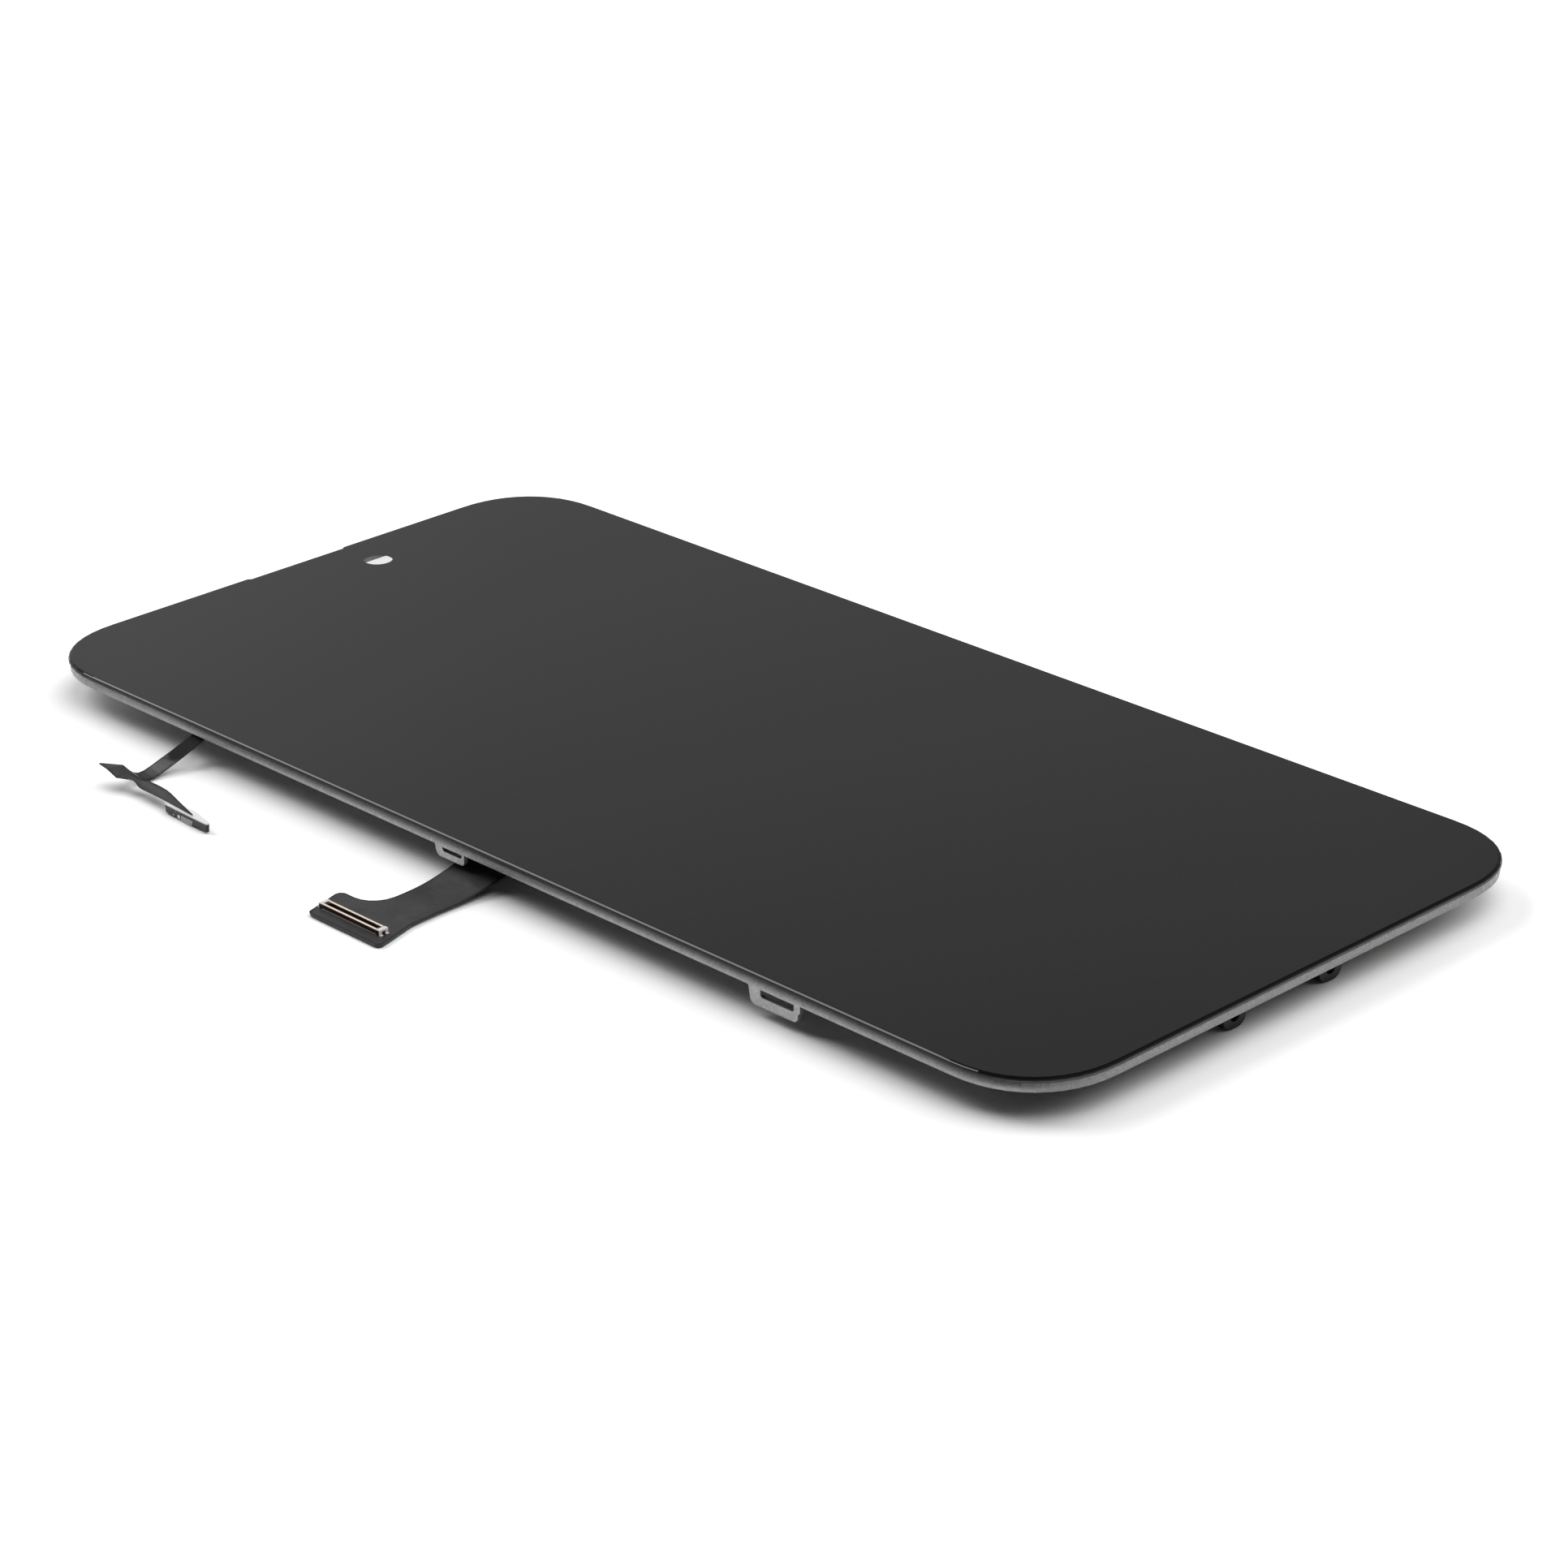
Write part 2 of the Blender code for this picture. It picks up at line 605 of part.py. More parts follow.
def slotted(outline, inset):
    """Let the shallow earpiece slot into the straight top edge of the glass outline."""
    reach = EARPIECE_SLOT_WIDTH / 2 + EARPIECE_SLOT_SLOPE
    slope = []
    for step in range(FILLET_STEPS + 1):
        share = step / FILLET_STEPS
        depth = inset + EARPIECE_SLOT_DEPTH * smooth_step(share)
        slope.append((reach - EARPIECE_SLOT_SLOPE * share, GLASS_TOP_Y - depth))
    right = [(EARPIECE_SLOT_X + x, y) for x, y in slope]
    left = [(EARPIECE_SLOT_X - x, y) for x, y in reversed(slope)]
    first_corner = CORNER_STEPS + 1
    return outline[:first_corner] + right + left + outline[first_corner:]


def glass_outline(inset):
    """Outline of the cover glass, moved inwards by an inset."""
    return rounded_rectangle(
        GLASS_WIDTH / 2 - inset,
        GLASS_BOTTOM_Y + inset,
        GLASS_TOP_Y - inset,
        GLASS_CORNER_RADIUS - inset,
        CORNER_EXPONENT,
    )


def make_cover_glass(glass):
    """Cover glass with rounded front and back edges and the shallow earpiece slot."""
    levels = []
    for step in range(FRONT_ROUNDING_STEPS + 1):
        angle = math.pi / 2 * step / FRONT_ROUNDING_STEPS
        drop = GLASS_FRONT_ROUNDING * (1 - math.cos(angle))
        levels.append((GLASS_FRONT_ROUNDING * (1 - math.sin(angle)), GLASS_TOP - drop))
    for step in range(BACK_ROUNDING_STEPS + 1):
        angle = math.pi / 2 * step / BACK_ROUNDING_STEPS
        rise = GLASS_BACK_ROUNDING * (1 - math.sin(angle))
        levels.append((GLASS_BACK_ROUNDING * (1 - math.cos(angle)), GLASS_LOW + rise))
    lofted("cover_glass", [(slotted(glass_outline(inset), inset), level) for inset, level in levels], glass)


def make_mask(black):
    """Printed black border behind the glass, open over the display and at the camera window."""
    window = circle_outline(CAMERA_X, CAMERA_Y, CAMERA_WINDOW_DIAMETER)
    outlines = [glass_outline(MASK_EDGE_INSET), module_outline(MASK_OVERLAP), window]
    plate("border_mask", outlines, MASK_LOW, MASK_LOW + MASK_THICKNESS, black)


def make_display_layers(materials):
    """The layers behind the glass that share the outline of the module."""
    layers = (
        ("optical_adhesive", ADHESIVE_LOW, ADHESIVE_THICKNESS, 0.0, 0.0, "clear"),
        ("touch_sensor", TOUCH_LOW, TOUCH_THICKNESS, 0.0, 0.0, "clear"),
        ("front_polarizer", FRONT_POLARIZER_LOW, FRONT_POLARIZER_THICKNESS, POLARIZER_INSET, BOND_LEDGE, "dark"),
        ("color_filter_glass", COLOR_FILTER_LOW, COLOR_FILTER_THICKNESS, 0.0, BOND_LEDGE, "tinted"),
        ("tft_glass", TFT_LOW, TFT_THICKNESS, 0.0, 0.0, "tinted"),
        ("rear_polarizer", REAR_POLARIZER_LOW, REAR_POLARIZER_THICKNESS, POLARIZER_INSET, 0.0, "dark"),
        ("upper_prism_film", UPPER_PRISM_LOW, PRISM_THICKNESS, LIGHT_GUIDE_INSET, 0.0, "film"),
        ("lower_prism_film", LOWER_PRISM_LOW, PRISM_THICKNESS, LIGHT_GUIDE_INSET, 0.0, "film"),
        ("diffuser_film", DIFFUSER_LOW, DIFFUSER_THICKNESS, LIGHT_GUIDE_INSET, 0.0, "film"),
        ("light_guide", LIGHT_GUIDE_LOW, LIGHT_GUIDE_THICKNESS, LIGHT_GUIDE_INSET, LED_STRIP_DEPTH + LED_DEPTH, "clear"),
        ("reflector_film", REFLECTOR_LOW, REFLECTOR_THICKNESS, LIGHT_GUIDE_INSET, LED_STRIP_DEPTH + LED_DEPTH, "mirror"),
    )
    for name, low, thickness, inset, raised, finish in layers:
        plate(name, [module_outline(inset, raised)], low, low + thickness, materials[finish])


def make_light_frame(white):
    """White moulded frame that holds the films and the light guide inside the tray."""
    outlines = [module_outline(LIGHT_FRAME_INSET), module_outline(LIGHT_FRAME_INSET + LIGHT_FRAME_WALL)]
    plate("backlight_frame", outlines, REFLECTOR_LOW, REAR_POLARIZER_LOW - LAYER_GAP, white)


def make_led_bar(white):
    """Strip of lamps that shines into the lower edge of the light guide."""
    strip_low_y = MODULE_BOTTOM_Y + LIGHT_GUIDE_INSET
    strip_high_y = strip_low_y + LED_STRIP_DEPTH
    half = MODULE_SIDE_X - LIGHT_GUIDE_INSET - MODULE_CORNER_RADIUS
    strip_top = REFLECTOR_LOW + LED_STRIP_THICKNESS
    item = box("led_bar", (-half, strip_low_y, REFLECTOR_LOW), (half, strip_high_y, strip_top), white)
    pitch = 2 * half / LED_COUNT
    first = -half + LED_SPACE / 2
    lamp_low_y = strip_high_y - LED_DEPTH
    lamp = box(
        "led_row",
        (first, lamp_low_y, REFLECTOR_LOW + LED_STRIP_THICKNESS / 2),
        (first + pitch - LED_SPACE, strip_high_y + LED_DEPTH / 2, strip_top + LED_HEIGHT),
        white,
    )
    row = lamp.modifiers.new("row", "ARRAY")
    row.count = LED_COUNT
    row.use_relative_offset = False
    row.use_constant_offset = True
    row.constant_offset_displace = (pitch, 0.0, 0.0)
    boolean(item, lamp, "UNION")


def make_rear_tray(steel):
    """Steel tray: the back plate with a low wall round its edge."""
    floor = TRAY_LOW + TRAY_THICKNESS
    rim = floor + TRAY_WALL_HEIGHT
    item = plate("rear_tray", [module_outline()], TRAY_LOW, rim, steel)
    bevel = item.modifiers.new("formed_edge", "BEVEL")
    bevel.limit_method = "WEIGHT"
    bevel.width = TRAY_EDGE_ROUNDING
    bevel.segments = EDGE_BEVEL_STEPS
    weights = item.data.attributes.new("bevel_weight_edge", "FLOAT", "EDGE")
    for edge in item.data.edges:
        if max(item.data.vertices[index].co.z for index in edge.vertices) < floor:
            weights.data[edge.index].value = 1.0
    pocket = plate("tray_pocket", [module_outline(TRAY_THICKNESS)], floor, rim + TRAY_WALL_HEIGHT, steel)
    boolean(item, pocket, "DIFFERENCE")


def clip_outline(width, drop, shoulder):
    """Side view of a clip, from inside the frame down to its rounded foot; the shoulder is a small step."""
    root = FRAME_LOW + FRAME_LIP_HEIGHT / 2
    foot = FRAME_LOW - drop
    step_z = FRAME_LOW - CLIP_SHOULDER_DROP
    half = width / 2
    return filleted([
        (-half, root, 0),
        (-half, step_z, 0),
        (-half + shoulder, step_z - shoulder, 0),
        (-half + shoulder, foot, CLIP_CORNER_RADIUS),
        (half - CLIP_SHOULDER_WIDTH, foot, CLIP_CORNER_RADIUS),
        (half, root, 0),
    ])


def window_outline(width, height):
    """Side view of the window through a clip, open up to the frame's lower edge."""
    half = width / 2
    return filleted([
        (WINDOW_OFFSET - half, FRAME_LOW, 0),
        (WINDOW_OFFSET - half, FRAME_LOW - height, WINDOW_CORNER_RADIUS),
        (WINDOW_OFFSET + half, FRAME_LOW - height, WINDOW_CORNER_RADIUS),
        (WINDOW_OFFSET + half, FRAME_LOW, 0),
    ])


def shifted(outline, distance):
    return [(a + distance, b) for a, b in outline]


def add_clips(frame, side, side_name, material):
    """Join the two clips of one long side to the frame; each clip has its window cut first."""
    middle_window = window_outline(MIDDLE_WINDOW_WIDTH, MIDDLE_WINDOW_HEIGHT)
    lower_window = window_outline(LOWER_WINDOW_WIDTH, LOWER_WINDOW_HEIGHT)
    middle_clip = clip_outline(MIDDLE_CLIP_WIDTH, MIDDLE_CLIP_DROP, 0.0)
    lower_clip = clip_outline(LOWER_CLIP_WIDTH, LOWER_CLIP_DROP, CLIP_SHOULDER_WIDTH)
    clips = (
        ("middle", MIDDLE_CLIP_FROM_BOTTOM, middle_clip, middle_window),
        ("lower", LOWER_CLIP_FROM_BOTTOM, lower_clip, lower_window),
    )
    faces = sorted((side * FRAME_SIDE_X, side * (FRAME_SIDE_X - CLIP_THICKNESS)))
    for name, from_bottom, clip_side, window_side in clips:
        middle = GLASS_BOTTOM_Y + from_bottom
        body = shifted(clip_side, middle)
        window = shifted(window_side, middle)
        clip = plate(f"{side_name}_{name}_clip", [body, window], *faces, material, plane="YZ")
        boolean(frame, clip, "UNION")


def touch_relief(name, low, high, material):
    """Box of the room that the touch flex needs behind the frame's left side."""
    half = TOUCH_FLEX_WIDTH / 2 + TOUCH_RELIEF_MARGIN
    return box(
        name,
        (-FRAME_INNER_X - TOUCH_RELIEF_DEPTH, TOUCH_FLEX_Y - half, low),
        (-FRAME_INNER_X + TOUCH_RELIEF_DEPTH, TOUCH_FLEX_Y + half, high),
        material,
    )


def make_frame(gray):
    """Outer frame: a ring under the glass with a lip, clips, the mesh seat and the touch flex relief."""
    lip_top = FRAME_LOW + FRAME_LIP_HEIGHT
    rings = []
    for step in range(FRAME_COVE_STEPS + 1):
        share = step / FRAME_COVE_STEPS
        inset = FRAME_EDGE_INSET + FRAME_COVE_DEPTH * (1 - math.sin(math.pi / 2 * share))
        rings.append((glass_outline(inset), FRAME_TOP + (lip_top - FRAME_TOP) * share))
    rings.append((glass_outline(FRAME_EDGE_INSET), FRAME_LOW + FRAME_RIM_CHAMFER))
    rings.append((glass_outline(FRAME_EDGE_INSET + FRAME_RIM_CHAMFER), FRAME_LOW))
    item = lofted("bezel_frame", rings, gray)
    inside = rounded_rectangle(
        FRAME_INNER_X, FRAME_INNER_BOTTOM_Y, FRAME_INNER_TOP_Y, MODULE_CORNER_RADIUS, steps=CORNER_STEPS // 2
    )
    opening = plate("frame_opening", [inside], FRAME_LOW - FRAME_DEPTH, FRAME_TOP + FRAME_DEPTH, gray)
    boolean(item, opening, "DIFFERENCE")
    for side, side_name in ((-1, "left"), (1, "right")):
        add_clips(item, side, side_name, gray)
    relief = touch_relief("frame_relief", FRAME_LOW - FRAME_DEPTH, FRAME_TOP + FRAME_DEPTH, gray)
    boolean(item, relief, "DIFFERENCE")
    boolean(item, earpiece_seat("earpiece_seat", MESH_CLEARANCE, MESH_HEIGHT, gray), "DIFFERENCE")


def make_frame_glue(black):
    """Bead of glue between the frame and the back of the glass."""
    outside = glass_outline(FRAME_EDGE_INSET + FRAME_GLUE_INSET)
    inside = rounded_rectangle(
        FRAME_INNER_X + FRAME_GLUE_INSET,
        FRAME_INNER_BOTTOM_Y - FRAME_GLUE_INSET,
        FRAME_INNER_TOP_Y + FRAME_GLUE_INSET,
        MODULE_CORNER_RADIUS,
        steps=CORNER_STEPS // 2,
    )
    item = plate("frame_adhesive", [outside, inside], FRAME_GLUE_LOW, FRAME_GLUE_LOW + FRAME_GLUE_THICKNESS, black)
    relief = touch_relief("glue_relief", FRAME_TOP, MASK_LOW + MASK_THICKNESS, black)
    boolean(item, relief, "DIFFERENCE")


def make_camera_collar(gray):
    """Square collar glued behind the window, which locates the front camera."""
    size_x, size_y = CAMERA_COLLAR_INSIDE_X, CAMERA_COLLAR_INSIDE_Y
    wall, radius = CAMERA_COLLAR_WALL, CAMERA_COLLAR_RADIUS
    outside = rectangle(CAMERA_X, CAMERA_Y, size_x + 2 * wall, size_y + 2 * wall, radius + wall)
    inside = rectangle(CAMERA_X, CAMERA_Y, size_x, size_y, radius)
    top = MASK_LOW - LAYER_GAP
    plate("camera_collar", [outside, inside], top - CAMERA_COLLAR_HEIGHT, top, gray)


def make_screw_lugs(black):
    """Two threaded lugs under the bottom rail; the housing's screws enter them along Y."""
    low = STAND_LOW
    high = FRAME_LOW - FASTENER_GAP
    neck = high - LUG_FLANGE_THICKNESS
    half = LUG_WIDTH / 2
    flange = LUG_FLANGE_WIDTH / 2
    front = GLASS_BOTTOM_Y + LUG_FROM_BOTTOM - LUG_THICKNESS / 2
    for name, middle in (("screw_lug_left", -LUG_X), ("screw_lug_right", LUG_X)):
        outline = filleted([
            (-flange, high, 0),
            (-flange, neck, 0),
            (-half, neck, 0),
            (-half, low, LUG_CORNER_RADIUS),
            (half, low, LUG_CORNER_RADIUS),
            (half, neck, 0),
            (flange, neck, 0),
            (flange, high, 0),
        ])
        hole = circle_outline(0.0, low + LUG_HOLE_HEIGHT, LUG_HOLE_DIAMETER)
        outlines = [shifted(outline, middle), shifted(hole, middle)]
        plate(name, outlines, front, front + LUG_THICKNESS, black, plane="XZ")


def make_top_hooks(steel):
    """Two sheet hooks under the top rail, bent out at the foot to catch the housing."""
    high = FRAME_LOW - FASTENER_GAP
    web = GLASS_TOP_Y - HOOK_FROM_TOP
    back = web - HOOK_SHEET
    outline = filleted([
        (back - HOOK_FLANGE, high, 0),
        (back - HOOK_FLANGE, high - HOOK_SHEET, 0),
        (back, high - HOOK_SHEET, 0),
        (back, STAND_LOW, HOOK_SHEET),
        (web + HOOK_TOE, STAND_LOW, 0),
        (web + HOOK_TOE, STAND_LOW + HOOK_SHEET, 0),
        (web, STAND_LOW + HOOK_SHEET, 0),
        (web, high, 0),
    ])
    for name, middle in (("top_hook_left", -HOOK_X), ("top_hook_right", HOOK_X)):
        plate(name, [outline], middle - HOOK_WIDTH / 2, middle + HOOK_WIDTH / 2, steel, plane="YZ")


def earpiece_seat(name, clearance, open_reach, material):
    """Box of the dust mesh, or of its seat when it is given a clearance and a reach past the frame."""
    half = MESH_LENGTH / 2 + clearance
    high_y = GLASS_TOP_Y - FRAME_EDGE_INSET - FRAME_COVE_DEPTH - MESH_CLEARANCE
    return box(
        name,
        (-half, high_y - MESH_WIDTH - clearance, FRAME_TOP - MESH_HEIGHT - clearance),
        (half, high_y + open_reach, FRAME_TOP + open_reach),
        material,
    )


def make_driver_film(amber, black):
    """Driver film bonded to the ledge of the TFT glass and folded round to the back of the tray."""
    front = TFT_LOW + TFT_THICKNESS + LAYER_GAP + DRIVER_FILM_THICKNESS / 2
    rear = DRIVER_FILM_REAR_HIGH - DRIVER_FILM_THICKNESS / 2
    radius = (front - rear) / 2
    fold_y = MODULE_BOTTOM_Y
    path = [(MODULE_BOTTOM_Y + DRIVER_FILM_BOND, front)]
    for step in range(FOLD_STEPS + 1):
        angle = math.pi / 2 + math.pi * step / FOLD_STEPS
        path.append((fold_y + radius * math.cos(angle), (front + rear) / 2 + radius * math.sin(angle)))
    path.append((fold_y + DRIVER_FILM_REAR_LENGTH, rear))
    half = DRIVER_FILM_WIDTH / 2
    stations = [((-half, y, z), (half, y, z)) for y, z in path]
    ribbon("driver_film", [stations], DRIVER_FILM_THICKNESS, amber)
    chip_high = DRIVER_FILM_REAR_HIGH - DRIVER_FILM_THICKNESS - LAYER_GAP
    chip_y = fold_y + DRIVER_CHIP_FROM_FOLD
    box(
        "driver_chip",
        (-DRIVER_CHIP_WIDTH / 2, chip_y - DRIVER_CHIP_DEPTH / 2, chip_high - DRIVER_CHIP_HEIGHT),
        (DRIVER_CHIP_WIDTH / 2, chip_y + DRIVER_CHIP_DEPTH / 2, chip_high),
        black,
    )


def head_corners():
    """Corners of the display flex head, from the inner end of its throat round to its low edge."""
    inner, outer = EDGE_X - HEAD_INNER_OUT, EDGE_X - HEAD_OUTER_OUT
    low_y, high_y = EXIT_Y - HEAD_LOW_REACH, EXIT_Y + HEAD_HIGH_REACH
    return [
        (inner, EXIT_Y + EXIT_WIDTH / 2 - EXIT_NARROWING, HEAD_THROAT_RADIUS),
        (inner, high_y, HEAD_INNER_RADIUS),
        (outer, high_y - HEAD_END_SLOPE, HEAD_OUTER_RADIUS),
        (outer, low_y, HEAD_OUTER_RADIUS),
        (inner, low_y + HEAD_LOW_SLOPE, 0),
    ]


def make_display_flex(coverlay, stiff_black):
    """Display flex: joint at the driver film, riser on the tray, way out at the left, and stiffened head."""
    joint_half = DISPLAY_FLEX_JOINT_WIDTH / 2
    joint_low = MODULE_BOTTOM_Y + DRIVER_FILM_REAR_LENGTH - DISPLAY_FLEX_JOINT_OVERLAP
    joint_high = joint_low + DISPLAY_FLEX_JOINT_DEPTH
    riser_left, riser_right = RISER_X - RISER_WIDTH / 2, RISER_X + RISER_WIDTH / 2
    exit_low, exit_high = EXIT_Y - EXIT_WIDTH / 2, EXIT_Y + EXIT_WIDTH / 2
    lift_start, lift_end = EDGE_X + LIFT_START_FROM_EDGE, EDGE_X - LIFT_END_OUT
    throat = EDGE_X - HEAD_THROAT_OUT
    corner = RISER_CORNER_RADIUS
    corners = [
        (joint_half, joint_low, corner),
        (joint_half, joint_high, corner),
        (riser_right, joint_high, corner),
        (riser_right, exit_high, 2 * corner),
        (lift_start, exit_high, 0),
        (throat, exit_high - EXIT_NARROWING, 0),
        *head_corners(),
        (throat, exit_low, 0),
        (riser_left, exit_low, corner),
        (riser_left, joint_low, corner),
    ]
    on_tray = (FLEX_ON_TRAY_HIGH + FLEX_ON_TRAY_LOW) / 2
    on_floor = (HEAD_FLEX_LOW + HEAD_FLEX_TOP) / 2
    span = lift_start - lift_end

    def height(x):
        return on_floor + (on_tray - on_floor) * smooth_step((x - lift_end) / span)

    stations = [lift_end + span * step / BEND_STEPS for step in range(BEND_STEPS + 1)]
    bent_sheet("display_flex", filleted(corners), stations, height, DISPLAY_FLEX_THICKNESS, coverlay)

    edge = EDGE_X - STIFFENER_EDGE_OUT
    margin = STIFFENER_MARGIN
    throat_end, inner, outer, outer_low, inner_low = head_corners()
    stiffener = filleted([
        (edge, throat_end[1] + margin, 0),
        (inner[0] - margin, throat_end[1] + margin, HEAD_THROAT_RADIUS / 2),
        (inner[0] - margin, inner[1] - margin, inner[2]),
        (outer[0] + margin, outer[1] - margin, outer[2]),
        (outer_low[0] + margin, outer_low[1] + margin, outer_low[2]),
        (inner_low[0], inner_low[1] + margin, 0),
        (edge, exit_low + margin, 0),
    ])
    plate("display_flex_stiffener", [stiffener], STIFFENER_LOW, STIFFENER_LOW + STIFFENER_THICKNESS, stiff_black)


def make_shield_and_tape(steel, black):
    """Shield can and hold-down tape on the display flex where it runs over the tray."""
    high = FLEX_ON_TRAY_LOW - LAYER_GAP
    can = rectangle(RISER_X, MODULE_BOTTOM_Y + SHIELD_FROM_BOTTOM, SHIELD_WIDTH, SHIELD_LENGTH, SHIELD_RADIUS)
    item = plate("flex_shield_can", [can], high - SHIELD_HEIGHT, high, steel)
    bevel = item.modifiers.new("drawn_edge", "BEVEL")
    bevel.width = SHIELD_EDGE_ROUNDING
    bevel.segments = EDGE_BEVEL_STEPS
    bevel.limit_method = "ANGLE"
    bevel.angle_limit = math.radians(EDGE_BEVEL_ANGLE)
    tape = rectangle(RISER_X, MODULE_BOTTOM_Y + TAPE_FROM_BOTTOM, TAPE_WIDTH, TAPE_LENGTH, TAPE_RADIUS)
    plate("flex_tape", [tape], high - TAPE_THICKNESS, high, black)


def contact_row(name, wall_x, outward, low, high, first_y, count, pitch, foot_length, material):
    """A row of formed contacts: a rounded rail on the connector wall, with legs down to feet on the flex."""
    metal = CONTACT_METAL
    face = wall_x + outward * CONTACT_GAP
    leg = face + outward * metal
    foot = leg + outward * foot_length
    inner = leg - outward * CONTACT_RAIL_WIDTH
    last_y = first_y + pitch * (count - 1) + CONTACT_WIDTH
    inward = math.copysign(metal, high - low)
    top = high + inward
    half_rail = (high + top) / 2
    rail_outline = filleted([(leg, high, 0), (leg, top, metal), (inner, top, metal), (inner, high, 0)])
    rail = plate(name, [rail_outline], first_y, last_y, material, plane="XZ")
    outline = [(face, low), (foot, low), (foot, low + inward), (leg, low + inward), (leg, half_rail), (face, half_rail)]
    teeth = plate(name + "_legs", [outline], first_y, first_y + CONTACT_WIDTH, material, plane="XZ")
    row = teeth.modifiers.new("row", "ARRAY")
    row.count = count
    row.use_relative_offset = False
    row.use_constant_offset = True
    row.constant_offset_displace = (0.0, pitch, 0.0)
    boolean(rail, teeth, "UNION")
    return rail


def make_display_connector(housing, gold, silver):
    """Header on the display flex: channelled body, two contact rows and a metal plate at each end."""
    half_x = CONNECTOR_WIDTH / 2
    half_y = CONNECTOR_LENGTH / 2
    low_y, high_y = CONNECTOR_Y - half_y, CONNECTOR_Y + half_y
    body = box(
        "display_connector_body",
        (CONNECTOR_X - half_x, low_y, CONNECTOR_LOW),
        (CONNECTOR_X + half_x, high_y, CONNECTOR_TOP),
        housing,
    )
    channel = box(
        "connector_channel",
        (CONNECTOR_X - CONNECTOR_CHANNEL / 2, low_y + CHANNEL_END_WALL, CONNECTOR_LOW + CONNECTOR_FLOOR),
        (CONNECTOR_X + CONNECTOR_CHANNEL / 2, high_y - CHANNEL_END_WALL, CONNECTOR_TOP + CONNECTOR_HEIGHT),
        housing,
    )
    boolean(body, channel, "DIFFERENCE")
    row_length = CONTACT_PITCH * (CONTACT_COUNT - 1) + CONTACT_WIDTH
    first_y = CONNECTOR_Y - row_length / 2
    rail_low = CONNECTOR_TOP + CONTACT_GAP
    for name, side in (("display_contacts_outer", -1), ("display_contacts_inner", 1)):
        wall_x = CONNECTOR_X + side * half_x
        levels = (CONNECTOR_LOW, rail_low)
        contact_row(name, wall_x, side, *levels, first_y, CONTACT_COUNT, CONTACT_PITCH, CONTACT_FOOT, gold)
    for name, side in (("display_end_plate_lower", -1), ("display_end_plate_upper", 1)):
        edge = CONNECTOR_Y + side * half_y
        metal = CONTACT_METAL
        face = edge + side * CONTACT_GAP
        outline = filleted([
            (edge - side * END_PLATE_DEPTH, rail_low, 0),
            (edge - side * END_PLATE_DEPTH, rail_low + metal, 0),
            (face + side * metal, rail_low + metal, END_PLATE_BEND),
            (face + side * metal, CONNECTOR_LOW + metal, 0),
            (face + side * (metal + END_PLATE_FOOT), CONNECTOR_LOW + metal, 0),
            (face + side * (metal + END_PLATE_FOOT), CONNECTOR_LOW, 0),
            (face, CONNECTOR_LOW, 0),
            (face, rail_low, 0),
        ])
        half = END_PLATE_WIDTH / 2
        item = plate(name, [outline], CONNECTOR_X - half, CONNECTOR_X + half, silver, plane="YZ")
        reach = sorted((edge - side * END_PLATE_DEPTH, face + side * 2 * END_PLATE_DEPTH))
        slot = box(
            name + "_slot",
            (CONNECTOR_X - END_PLATE_SLOT / 2, reach[0], CONNECTOR_LOW - CONNECTOR_HEIGHT),
            (CONNECTOR_X + END_PLATE_SLOT / 2, reach[1], rail_low + metal - END_PLATE_TAB_HEIGHT),
            silver,
        )
        boolean(item, slot, "DIFFERENCE")


def touch_arm_stations(meeting_edge):
    """Edge points of the arm: out of the sensor, down the relief, out over the floor and up to the head."""
    start_z = TOUCH_LOW + TOUCH_FLEX_THICKNESS / 2
    relief_x = -FRAME_INNER_X - TOUCH_RELIEF_DEPTH / 2
    twist = TOUCH_FLEX_TWIST
    path = [
        (-MODULE_SIDE_X - 2 * LAYER_GAP, start_z, 0.0),
        (relief_x + TOUCH_BEND_START, start_z - TOUCH_FLEX_THICKNESS / 2, 0.0),
        (relief_x, (start_z + FRAME_LOW) / 2, 0.0),
        (relief_x - TOUCH_BEND_END, FRAME_LOW, 0.0),
        (EDGE_X + TOUCH_EXIT_FROM_EDGE, FRAME_LOW - TOUCH_EXIT_DROP, twist / 2),
        (EDGE_X - TOUCH_CREASE_OUT, STAND_LOW + TOUCH_CREASE_RISE, twist),
        (EDGE_X - TOUCH_LOWEST_OUT, STAND_LOW + TOUCH_LOWEST_RISE, twist),
    ]
    half = TOUCH_FLEX_WIDTH / 2
    high_y, low_y = TOUCH_FLEX_Y + half, TOUCH_FLEX_Y - half
    edges = [(x, high_y, z + drop / 2, x, low_y, z - drop / 2) for x, z, drop in path]
    edges.append((*meeting_edge[0], *meeting_edge[1]))
    return [(edge[:3], edge[3:]) for edge in smoothed(edges, 4)]


